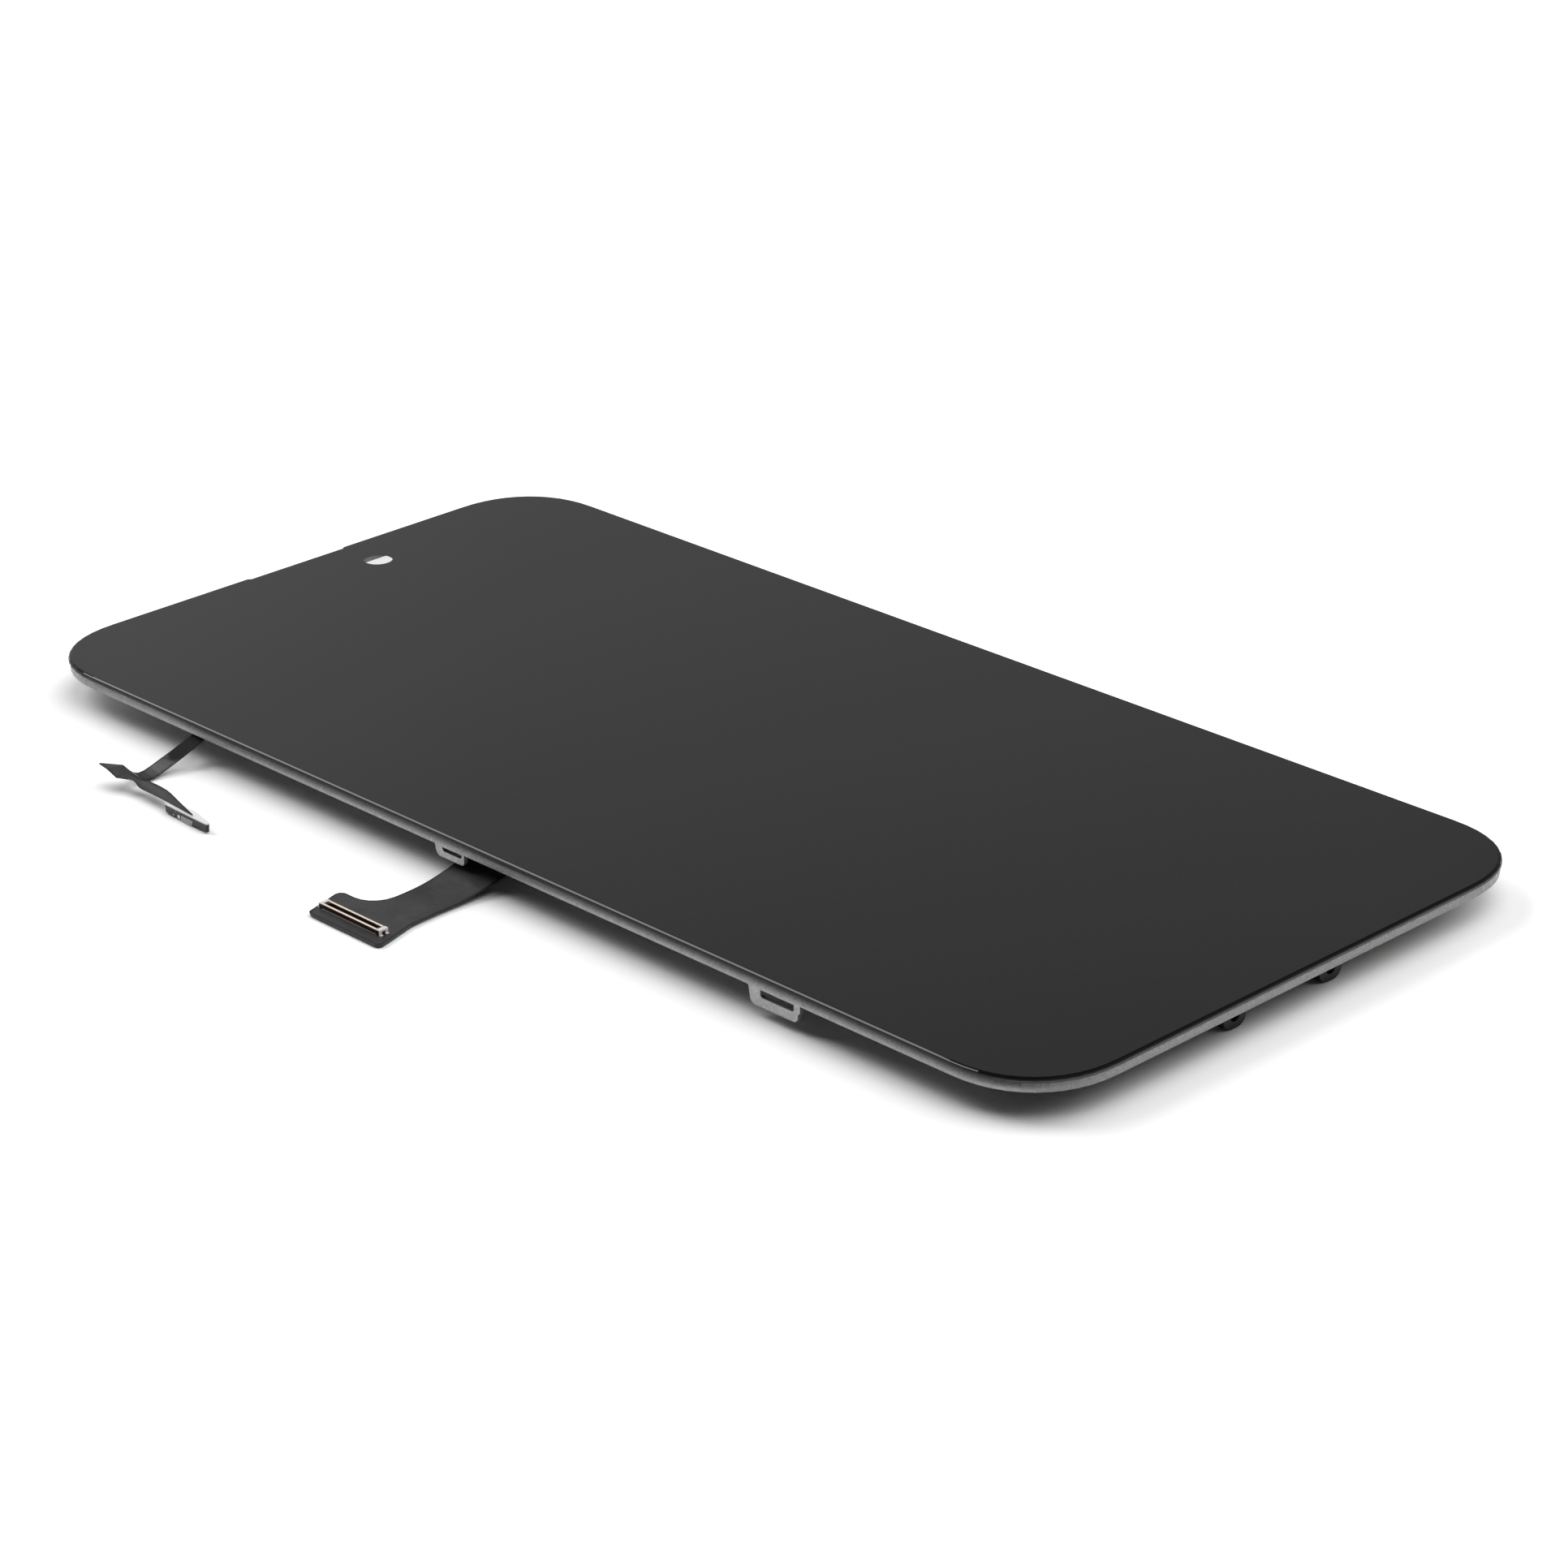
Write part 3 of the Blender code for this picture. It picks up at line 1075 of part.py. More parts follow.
def make_touch_flex(coverlay):
    """Touch flex: the arm, welded to a head that rises to a tab and tapers to a point."""
    half = TOUCH_FLEX_WIDTH / 2
    tab_z = STAND_LOW + TOUCH_TAB_RISE
    head_z = STAND_LOW + TOUCH_HEAD_RISE
    fall = (tab_z - head_z) / TOUCH_HEAD_STEPS
    tip_width = TOUCH_POINT_WIDTH
    far, near = EDGE_X - TOUCH_HEAD_FAR_OUT, EDGE_X - TOUCH_HEAD_NEAR_OUT
    tip = (EDGE_X - TOUCH_TIP_OUT, TOUCH_FLEX_Y + TOUCH_TIP_AHEAD, tab_z)
    tab = (EDGE_X - TOUCH_TAB_OUT, TOUCH_FLEX_Y - TOUCH_TAB_BEHIND, tab_z - fall)
    meeting_edge = (
        (far, TOUCH_FLEX_Y + half, tab_z - fall),
        (far, TOUCH_FLEX_Y - half, head_z + fall),
    )
    upper = [
        (tip, (tip[0] - tip_width, tip[1] - tip_width, tab_z)),
        (meeting_edge[0], ((tip[0] + tab[0]) / 2, TOUCH_FLEX_Y + half, tab_z)),
        (meeting_edge[1], tab),
    ]
    bulge_x, point_x = EDGE_X - TOUCH_BULGE_OUT, EDGE_X - TOUCH_POINT_OUT
    neck_y = tab[1] - half
    bulge_y = TOUCH_FLEX_Y - TOUCH_BULGE_BEHIND
    taper_y = TOUCH_FLEX_Y - TOUCH_TAPER_BEHIND
    point_y = TOUCH_FLEX_Y - TOUCH_POINT_BEHIND
    wedge_x, wedge_y = (bulge_x + point_x) / 2, (taper_y + point_y) / 2
    lower = [
        (*meeting_edge[1], *tab),
        (far, neck_y, head_z, near + TOUCH_WAIST, neck_y, head_z + fall),
        (bulge_x, bulge_y, head_z, near, bulge_y - half / 2, head_z),
        (bulge_x - tip_width, taper_y, head_z, near - tip_width, taper_y, head_z),
        (wedge_x, wedge_y, head_z, near - 2 * tip_width, wedge_y + half, head_z),
        (point_x + tip_width, point_y, head_z, point_x - tip_width, point_y, head_z),
    ]
    strips = [
        touch_arm_stations(meeting_edge),
        upper,
        [(edge[:3], edge[3:]) for edge in smoothed(lower, 3)],
    ]
    ribbon("touch_flex", strips, TOUCH_FLEX_THICKNESS, coverlay)


def tapered_outline(width, inset=0.0):
    """Outline of what lies under the touch flex: straight on its outer side, narrowing to a rounded tip."""
    outer_x = inset - TOUCH_PLATE_WIDTH / 2
    inner_x = outer_x + width
    low_y, high_y = inset - TOUCH_PLATE_LENGTH / 2, TOUCH_PLATE_LENGTH / 2 - inset
    tip = TOUCH_PLATE_TIP - 2 * inset
    taper = TOUCH_PLATE_TAPER * (width - tip) / (TOUCH_PLATE_WIDTH - TOUCH_PLATE_TIP)
    return filleted([
        (outer_x, low_y, TOUCH_PLATE_RADIUS),
        (outer_x + tip, low_y, TOUCH_PLATE_RADIUS),
        (inner_x, low_y + taper, TOUCH_PLATE_RADIUS),
        (inner_x, high_y, TOUCH_PLATE_RADIUS),
        (outer_x, high_y, TOUCH_PLATE_RADIUS),
    ])


def make_touch_connector(steel, housing, gold):
    """Bright plate under the end of the touch flex, and the small connector that hangs from it."""
    top = STAND_LOW + TOUCH_HEAD_RISE - TOUCH_FLEX_THICKNESS / 2 - LAYER_GAP
    low = top - TOUCH_PLATE_THICKNESS
    outline = tapered_outline(TOUCH_PLATE_WIDTH)
    parts = [plate("touch_connector_plate", [outline], low, top, steel)]
    slab_high = low - LAYER_GAP
    slab_low = slab_high - TOUCH_SLAB_THICKNESS
    socket_low = slab_low - TOUCH_SOCKET_HEIGHT
    socket_outline = tapered_outline(TOUCH_SOCKET_WIDTH, TOUCH_SOCKET_INSET)
    outer_x = TOUCH_SOCKET_INSET - TOUCH_PLATE_WIDTH / 2
    inner_x = outer_x + TOUCH_SOCKET_WIDTH
    middle_x = (outer_x + inner_x) / 2
    body = plate("touch_connector_body", [outline], slab_low, slab_high, housing)
    socket = plate("touch_socket", [socket_outline], socket_low, (slab_low + slab_high) / 2, housing)
    channel = box(
        "touch_channel",
        (middle_x - TOUCH_CHANNEL_WIDTH / 2, TOUCH_ROW_SHIFT - TOUCH_CHANNEL_LENGTH / 2, socket_low - TOUCH_SOCKET_HEIGHT),
        (middle_x + TOUCH_CHANNEL_WIDTH / 2, TOUCH_ROW_SHIFT + TOUCH_CHANNEL_LENGTH / 2, slab_low - TOUCH_CHANNEL_FLOOR),
        housing,
    )
    boolean(body, socket, "UNION")
    boolean(body, channel, "DIFFERENCE")
    parts += [body, socket, channel]
    row_length = TOUCH_CONTACT_PITCH * (TOUCH_CONTACT_COUNT - 1) + CONTACT_WIDTH
    first_y = TOUCH_ROW_SHIFT - row_length / 2
    leg_high, rail_high = slab_low - CONTACT_GAP, socket_low - CONTACT_GAP
    row = (leg_high, rail_high, first_y, TOUCH_CONTACT_COUNT, TOUCH_CONTACT_PITCH, TOUCH_CONTACT_FOOT)
    for name, wall_x, side in (("touch_contacts_outer", outer_x, -1), ("touch_contacts_inner", inner_x, 1)):
        rail = contact_row(name, wall_x, side, *row, gold)
        legs = bpy.data.objects[name + "_legs"]
        for vertex in legs.data.vertices:
            vertex.co.y -= TOUCH_CONTACT_SLANT * (vertex.co.z - rail_high) / (leg_high - rail_high)
        parts += [rail, legs]
    turned = Matrix.Rotation(math.radians(TOUCH_PLATE_TURN), 4, "Z")
    middle = (EDGE_X - TOUCH_PLATE_OUT, TOUCH_FLEX_Y - TOUCH_PLATE_BEHIND, 0.0)
    for part in parts:
        part.matrix_world = Matrix.Translation(middle) @ turned


def build():
    clear_scene()
    black = make_material("black_plastic", (0.012, 0.012, 0.013), 0.45)
    coverlay = make_material("flex_coverlay", (0.030, 0.030, 0.032), 0.55)
    gray = make_material("frame_gray", (0.20, 0.20, 0.20), 0.5)
    steel = make_material("steel", (0.45, 0.45, 0.46), 0.35, 1.0)
    gold = make_material("contact_gold", (0.83, 0.56, 0.33), 0.25, 1.0)
    silver = make_material("contact_silver", (0.72, 0.66, 0.66), 0.25, 1.0)
    white = make_material("white_plastic", (0.80, 0.80, 0.78), 0.5)
    amber = make_material("film_amber", (0.30, 0.13, 0.03), 0.4)
    glass = make_material("cover_glass", (0.9, 0.9, 0.9), 0.03, 0.0, 1.0)
    layers = {
        "clear": make_material("clear_film", (0.9, 0.9, 0.9), 0.1, 0.0, 1.0),
        "dark": make_material("polarizer_film", (0.015, 0.015, 0.017), 0.2),
        "tinted": make_material("display_glass", (0.06, 0.07, 0.07), 0.05),
        "film": make_material("optical_film", (0.75, 0.77, 0.78), 0.35),
        "mirror": make_material("reflector", (0.88, 0.88, 0.88), 0.15, 1.0),
    }
    make_cover_glass(glass)
    make_mask(black)
    make_display_layers(layers)
    make_light_frame(white)
    make_led_bar(white)
    make_rear_tray(steel)
    make_frame(gray)
    make_frame_glue(black)
    make_camera_collar(gray)
    make_screw_lugs(black)
    make_top_hooks(steel)
    earpiece_seat("earpiece_mesh", 0.0, 0.0, black)
    make_driver_film(amber, black)
    make_display_flex(coverlay, black)
    make_shield_and_tape(steel, black)
    make_display_connector(black, gold, silver)
    make_touch_flex(coverlay)
    make_touch_connector(steel, black, gold)
    bpy.context.view_layer.update()


build()
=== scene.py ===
import math

import bmesh
import bpy
from mathutils import Matrix, Vector


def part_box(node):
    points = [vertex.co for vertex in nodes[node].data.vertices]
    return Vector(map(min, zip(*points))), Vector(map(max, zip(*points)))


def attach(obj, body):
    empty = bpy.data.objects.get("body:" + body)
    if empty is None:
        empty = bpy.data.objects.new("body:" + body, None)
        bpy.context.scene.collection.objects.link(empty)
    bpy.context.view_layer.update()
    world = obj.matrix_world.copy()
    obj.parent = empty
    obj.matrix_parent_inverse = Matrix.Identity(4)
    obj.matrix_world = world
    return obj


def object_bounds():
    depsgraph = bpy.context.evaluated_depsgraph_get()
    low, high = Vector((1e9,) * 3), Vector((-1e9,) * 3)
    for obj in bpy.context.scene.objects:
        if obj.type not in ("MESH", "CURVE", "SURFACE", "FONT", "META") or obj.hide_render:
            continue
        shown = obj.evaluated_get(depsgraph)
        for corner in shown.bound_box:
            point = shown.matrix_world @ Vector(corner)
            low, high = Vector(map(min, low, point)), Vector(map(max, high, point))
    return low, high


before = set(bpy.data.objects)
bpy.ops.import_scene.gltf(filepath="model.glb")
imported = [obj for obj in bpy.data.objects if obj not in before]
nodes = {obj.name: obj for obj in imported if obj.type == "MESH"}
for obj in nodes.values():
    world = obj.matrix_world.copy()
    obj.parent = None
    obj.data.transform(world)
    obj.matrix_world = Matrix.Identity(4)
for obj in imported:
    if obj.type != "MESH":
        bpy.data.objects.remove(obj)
cad_low, cad_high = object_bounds()

# Lengths are in metres, apart from those that a comment gives in millimetres
MM = 0.001

# Camera, fitted to the photograph's edges and corners, with its sensor in millimetres
SENSOR_WIDTH = 36.0
PHOTO_WIDTH = 1932.0
FOCAL_LENGTH_IN_PIXELS = 5701.0
CAMERA_PLACE = (-0.2969, -0.3146, 0.1883)
CAMERA_RIGHT = (0.7169, -0.6971, -0.0138)
CAMERA_FORWARD = (0.6328, 0.6588, -0.4069)
CLIP_START = 0.01
CLIP_END = 20.0

# Surroundings: their pale side, their brightness from 0, away from it, to 1, towards it, the darker
# ceiling, between two heights of the direction looked in, and the share of all this that lights matt
# surfaces, where gloss shows the whole
PALE_SIDE = (-0.342, 0.940, 0.0)
WORLD_TONES = (
    (0.0, 0.12), (0.50, 0.12), (0.57, 0.15), (0.64, 0.295), (0.66, 0.304), (0.70, 0.33),
    (0.73, 0.357), (0.765, 0.434), (0.85, 0.46), (1.0, 0.3),
)
CEILING_HEIGHTS = (0.36, 0.72)
CEILING_TONE = 0.2
WORLD_LIGHT = 0.35

# Lamps: azimuth and elevation in degrees, width, height, radiance, and whether gloss shows them
LAMP_DISTANCE = 1.2
SOFTBOXES = (
    ("back_left_box", 110.0, 44.5, 0.58, 0.64, 4.2, True),
    ("back_strip", 80.5, 45.0, 0.26, 0.36, 2.6, True),
    ("front_right_box", -43.8, 63.4, 1.51, 1.80, 1.68, False),
    ("right_wall", 5.0, 14.0, 1.0, 0.5, 3.8, False),
    ("back_wall", 90.0, 14.0, 1.0, 0.5, 3.2, False),
)

# Floor: half its side, its gap under the part, and its tone to light that bounces and to the eye
FLOOR_SIZE = 4.0
FLOOR_GAP = 0.00002
FLOOR_BOUNCE = 0.50
FLOOR_SEEN = 1.25

# Range in which most of a noise lies, and how much finer the wear of a surface is than its patches
NOISE_LOW = 0.3
NOISE_HIGH = 0.7
WEAR_SCALE = 2.7

# Cover glass: camera window over the collar, bands of painted light on the end side, and the ground lower
# edge
collar_low, collar_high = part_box("camera_collar")
WINDOW = (collar_low + collar_high) / 2
WINDOW_RADIUS = 0.00165
GLASS_IOR = 1.52
GLASS_LEVELS = (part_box("cover_glass")[0].z, 0.0)
GLASS_END_FACING = (-0.25, -0.6)
GLASS_END_LIGHT_BANDS = ((0.0, 0.02), (0.15, 0.02), (0.22, 0.11), (0.42, 0.11), (0.50, 0.02), (1.0, 0.01))
GROUND_EDGE = (-0.00014, -0.00020)
POLISHED_ROUGHNESS = (0.02, 0.05)
GROUND_ROUGHNESS = (0.42, 0.60)
PRINT_DARK = (0.0035, 0.0035, 0.0037)
PRINT_LIGHT = (0.0055, 0.0055, 0.0058)

# Frame: tones by height on the long sides, painted shade darkening them towards the top, and at the ends,
# painted light making them paler, its finish there, and painted shade underneath
FRAME_LEVELS = (-0.0030, -0.0006)
FRAME_SIDE_SHADE_BANDS = ((0.0, 0.46), (0.55, 0.46), (0.63, 0.44), (0.74, 0.38), (0.80, 0.30), (1.0, 0.20))
FRAME_END_LIGHT_BANDS = ((0.0, 0.46), (0.63, 0.42), (0.78, 0.40), (0.88, 0.52), (0.95, 0.85), (1.0, 0.9))
FRAME_END_FACING = (0.45, 0.8)
FRAME_END_PLACE = (0.045, 0.068)
FRAME_METALLIC = 0.6
FRAME_END_METALLIC = 0.15
UNDERSIDE_FACING = -0.8
UNDERSIDE_SHADE_COLOR = (0.06, 0.06, 0.061)

# Gold contacts: rail, legs and foot tips by height, the rail paled partly as a painted highlight and the
# legs darkened as painted shade
CONTACT_LEVELS = (-0.00397, -0.00338)
RAIL_GOLD_AND_HIGHLIGHT = (1.0, 0.83, 0.69)
LEG_SHADE_COLOR = (0.055, 0.032, 0.028)
FOOT_COLOR = (0.80, 0.66, 0.64)
CONTACT_BANDS = (
    (0.0, FOOT_COLOR), (0.13, FOOT_COLOR), (0.17, LEG_SHADE_COLOR),
    (0.80, LEG_SHADE_COLOR), (0.86, RAIL_GOLD_AND_HIGHLIGHT), (1.0, RAIL_GOLD_AND_HIGHLIGHT),
)

# Outlines of the two flex circuits in plan, in millimetres
DISPLAY_OUTLINE = (
    (-29.0, 5.4), (-42.0, 4.6), (-42.95, 4.6), (-44.0, 4.8), (-44.93, 5.42), (-45.55, 6.33),
    (-45.75, 7.4), (-45.75, 8.8), (-46.3, 9.35), (-50.5, 8.15), (-51.0, 7.6), (-51.0, -2.3),
    (-50.5, -2.65), (-45.75, -1.3), (-42.0, -1.1), (-29.0, -1.1),
)
TOUCH_OUTLINE = (
    (-34.0, 46.5), (-44.2, 46.5), (-45.9, 48.2), (-46.2, 46.5), (-46.55, 44.5), (-45.2, 43.6),
    (-45.5, 42.05), (-45.6, 39.5), (-45.7, 37.0), (-45.95, 32.7), (-44.85, 36.1), (-43.9, 39.5),
    (-43.8, 42.5), (-44.2, 43.6), (-44.2, 44.7), (-34.0, 44.7),
)

# Creases darkened as painted shade, a patch lit as a painted highlight, a lighter band, painted shade from
# the panel, and the edge lit as a painted highlight, on the narrow flex in plan, in millimetres
ARM_CREASE_SHADE = ((-39.5, 46.9), (-38.95, 45.7), (-38.6, 44.4))
TAB_CREASE_SHADE = ((-45.0, 47.3), (-43.8, 45.6))
ARM_HIGHLIGHT = ((-40.5, 46.4), (-40.3, 45.0))
HEAD_PATCH = ((-44.4, 43.4), (-44.7, 39.4))
ARM_SHADE = ((-33.0, 45.6), (-37.9, 45.6))
HEAD_HIGHLIGHT_EDGE = ((-45.3, 43.4), (-45.6, 39.5), (-45.8, 33.0))

# Lines on the narrow flex: points, the distances at which a line starts and ends to fade, its tone
TOUCH_LINES = (
    (ARM_SHADE, 0.8, 1.4, 0.004),
    (ARM_HIGHLIGHT, 0.3, 1.2, 0.08),
    (HEAD_PATCH, 0.1, 0.7, 0.06),
    (ARM_CREASE_SHADE, 0.06, 0.20, 0.002),
    (TAB_CREASE_SHADE, 0.05, 0.18, 0.002),
)
MATTE_LINE = (ARM_SHADE, 0.8, 1.6)

# Both flexes: tones of the coverlay, of its border, darkened as painted edge shade, and of the cut edge,
# lit white as a painted highlight, fading as the lines do
FLEX_COLOR = (0.045, 0.045, 0.046)
FLEX_DARK = (0.036, 0.036, 0.037)
FLEX_LIGHT = (0.056, 0.056, 0.058)
BORDER_FADE = (0.08, 0.28)
BORDER_SHADE_TONE = 0.004
BORDER_STRENGTH = 0.95
CUT_EDGE_FADE = (0.5, 0.6)
CUT_EDGE_HIGHLIGHT_TONE = 0.97
MATTE_ROUGHNESS = 0.75

# A face stands upright where the Z of its direction is under this
UPRIGHT_FACING = 0.6

# Solder domes on the small connector: middle, radius and bulge in millimetres; one is lit white as a
# painted highlight, the other two are darker as painted shade
LIT_DOME = ("solder_dome_a", (-45.99, 34.91, -4.03), 0.22, 0.07)
SHADED_DOMES = (
    ("solder_dome_b", (-45.97, 35.80, -4.08), 0.15, 0.06),
    ("solder_dome_c", (-45.99, 35.42, -3.55), 0.09, 0.05),
)


def add_object(name, data):
    item = bpy.data.objects.new(name, data)
    bpy.context.scene.collection.objects.link(item)
    return item


def make_camera():
    data = bpy.data.cameras.new("camera")
    data.sensor_fit = "HORIZONTAL"
    data.sensor_width = SENSOR_WIDTH
    data.lens = SENSOR_WIDTH * FOCAL_LENGTH_IN_PIXELS / PHOTO_WIDTH
    data.clip_start = CLIP_START
    data.clip_end = CLIP_END
    right = Vector(CAMERA_RIGHT).normalized()
    forward = Vector(CAMERA_FORWARD).normalized()
    up = right.cross(forward)
    turned = Matrix((right, up, -forward)).transposed().to_4x4()
    camera = add_object("camera", data)
    camera.matrix_world = Matrix.Translation(CAMERA_PLACE) @ turned
    bpy.context.scene.camera = camera


# Node helpers
def new_material(name):
    material = bpy.data.materials.new(name)
    material.use_nodes = True
    material.node_tree.nodes.clear()
    return material, material.node_tree


def show(tree, shader):
    """Make a shader's output the surface of its material."""
    output = tree.nodes.new("ShaderNodeOutputMaterial")
    tree.links.new(shader, output.inputs["Surface"])


def principled(tree, color, roughness, metallic=0.0):
    shader = tree.nodes.new("ShaderNodeBsdfPrincipled")
    shader.inputs["Base Color"].default_value = (*color, 1.0)
    shader.inputs["Roughness"].default_value = roughness
    shader.inputs["Metallic"].default_value = metallic
    return shader


def gray(tone):
    return (tone, tone, tone)


def coordinates(tree, scale=(1, 1, 1)):
    """Object coordinates in metres, which for every piece are the part's own frame."""
    source = tree.nodes.new("ShaderNodeTexCoord")
    mapping = tree.nodes.new("ShaderNodeMapping")
    mapping.inputs["Scale"].default_value = scale
    tree.links.new(source.outputs["Object"], mapping.inputs["Vector"])
    return mapping.outputs["Vector"]


def split_xyz(tree, vector):
    node = tree.nodes.new("ShaderNodeSeparateXYZ")
    tree.links.new(vector, node.inputs["Vector"])
    return node.outputs


def facing(tree, kind="Normal"):
    """The X, Y and Z of the direction that a face looks."""
    geometry = tree.nodes.new("ShaderNodeNewGeometry")
    return split_xyz(tree, geometry.outputs[kind])


def set_inputs(tree, node, values):
    """Give a node's first sockets their values, each a socket to link or a constant."""
    for socket, value in zip(node.inputs, values):
        if isinstance(value, bpy.types.NodeSocket):
            tree.links.new(value, socket)
        else:
            socket.default_value = value


def math_node(tree, operation, *values):
    node = tree.nodes.new("ShaderNodeMath")
    node.operation = operation
    set_inputs(tree, node, values)
    return node.outputs["Value"]


def vector_node(tree, operation, *values):
    node = tree.nodes.new("ShaderNodeVectorMath")
    node.operation = operation
    set_inputs(tree, node, values)
    return node


def scaled(tree, vector, factor):
    node = vector_node(tree, "SCALE", vector)
    tree.links.new(factor, node.inputs["Scale"])
    return node.outputs["Vector"]


def map_range(tree, value, source, target=(0.0, 1.0), interpolation="LINEAR"):
    """Turn one range of a value into another, held at its ends."""
    node = tree.nodes.new("ShaderNodeMapRange")
    node.interpolation_type = interpolation
    node.inputs["From Min"].default_value = source[0]
    node.inputs["From Max"].default_value = source[1]
    node.inputs["To Min"].default_value = target[0]
    node.inputs["To Max"].default_value = target[1]
    tree.links.new(value, node.inputs["Value"])
    return node.outputs["Result"]


def noise(tree, scale, detail=3.0, roughness=0.55, stretch=(1, 1, 1)):
    texture = tree.nodes.new("ShaderNodeTexNoise")
    texture.inputs["Scale"].default_value = scale
    texture.inputs["Detail"].default_value = detail
    texture.inputs["Roughness"].default_value = roughness
    tree.links.new(coordinates(tree, stretch), texture.inputs["Vector"])
    return texture.outputs["Fac"]


def spread(tree, value, low, high):
    """A noise spread between two values."""
    return map_range(tree, value, (NOISE_LOW, NOISE_HIGH), (low, high))


def ramp(tree, value, stops):
    node = tree.nodes.new("ShaderNodeValToRGB")
    elements = node.color_ramp.elements
    while len(elements) < len(stops):
        elements.new(0.5)
    for element, (position, color) in zip(elements, stops):
        element.position = position
        element.color = (*color, 1.0)
    tree.links.new(value, node.inputs["Fac"])
    return node.outputs["Color"]


def gray_ramp(tree, value, stops):
    return ramp(tree, value, [(position, gray(tone)) for position, tone in stops])


def patches(tree, value, dark, light):
    """A noise spread between two colours."""
    return ramp(tree, value, [(NOISE_LOW, dark), (NOISE_HIGH, light)])


def bump(tree, value, distance):
    node = tree.nodes.new("ShaderNodeBump")
    node.inputs["Distance"].default_value = distance
    tree.links.new(value, node.inputs["Height"])
    return node.outputs["Normal"]


def blend(tree, factor, a, b):
    """Mix two colours, each a socket or a plain colour."""
    node = tree.nodes.new("ShaderNodeMix")
    node.data_type = "RGBA"
    tree.links.new(factor, node.inputs["Factor"])
    for name, value in (("A", a), ("B", b)):
        if isinstance(value, tuple):
            node.inputs[name].default_value = (*value, 1.0)
        else:
            tree.links.new(value, node.inputs[name])
    return node.outputs["Result"]


def height_of(tree, levels):
    """Height between two levels of the part, as a value from 0 to 1."""
    return map_range(tree, split_xyz(tree, coordinates(tree))["Z"], levels)


def path_distance(tree, points):
    """Distance in plan from a line through XY points given in millimetres."""
    here = coordinates(tree, (1, 1, 0))
    nearest = None
    for (x0, y0), (x1, y1) in zip(points, points[1:]):
        start = (x0 * MM, y0 * MM, 0.0)
        span = Vector(((x1 - x0) * MM, (y1 - y0) * MM, 0.0))
        from_start = vector_node(tree, "SUBTRACT", here, start).outputs["Vector"]
        along = vector_node(tree, "DOT_PRODUCT", from_start, span / span.length_squared).outputs["Value"]
        clamp = tree.nodes.new("ShaderNodeClamp")
        tree.links.new(along, clamp.inputs["Value"])
        foot = scaled(tree, span, clamp.outputs["Result"])
        off = vector_node(tree, "DISTANCE", from_start, foot).outputs["Value"]
        nearest = off if nearest is None else math_node(tree, "MINIMUM", nearest, off)
    return nearest


def line_mask(tree, points, inner, outer):
    """1 on a line, falling to 0 between two distances from it, in millimetres."""
    return map_range(tree, path_distance(tree, points), (inner * MM, outer * MM), (1.0, 0.0))


def upright_faces(tree):
    """1 on faces that stand upright, 0 elsewhere."""
    tilt = math_node(tree, "ABSOLUTE", facing(tree, "True Normal")["Z"])
    return math_node(tree, "LESS_THAN", tilt, UPRIGHT_FACING)


# Materials
def surface(
    name, color, shift, rough, metallic=0.0, grain=20000.0, depth=1.5e-6, stretch=(1, 1, 1),
    patch=400.0, rough_shift=0.08,
):
    """A general material: colour and roughness that shift in patches, and a fine grain in the bump."""
    material, tree = new_material(name)
    shader = principled(tree, color, rough, metallic)
    dark = [channel * (1 - shift) for channel in color]
    light = [min(channel * (1 + shift), 1.0) for channel in color]
    tone = noise(tree, patch, detail=4.0, roughness=0.6, stretch=stretch)
    wear = noise(tree, patch * WEAR_SCALE, detail=3.0, roughness=0.5, stretch=stretch)
    relief = noise(tree, grain, detail=2.0, roughness=0.5, stretch=stretch)
    tree.links.new(patches(tree, tone, dark, light), shader.inputs["Base Color"])
    tree.links.new(spread(tree, wear, rough - rough_shift, rough + rough_shift), shader.inputs["Roughness"])
    tree.links.new(bump(tree, relief, depth), shader.inputs["Normal"])
    show(tree, shader.outputs["BSDF"])
    return material


def shade_upright_faces(material, color):
    """Give the upright faces of a material a dark tone, as painted shade on the sides of the pressed tray.
    """
    tree = material.node_tree
    shader = next(node for node in tree.nodes if node.type == "BSDF_PRINCIPLED")
    own = shader.inputs["Base Color"].links[0].from_socket
    tree.links.new(blend(tree, upright_faces(tree), own, color), shader.inputs["Base Color"])


def window_mask(tree):
    """1 inside the round camera window, 0 elsewhere."""
    place = split_xyz(tree, coordinates(tree))
    off_x = math_node(tree, "SUBTRACT", place["X"], WINDOW.x)
    off_y = math_node(tree, "SUBTRACT", place["Y"], WINDOW.y)
    square_x = math_node(tree, "MULTIPLY", off_x, off_x)
    square_y = math_node(tree, "MULTIPLY", off_y, off_y)
    return math_node(tree, "LESS_THAN", math_node(tree, "ADD", square_x, square_y), WINDOW_RADIUS ** 2)


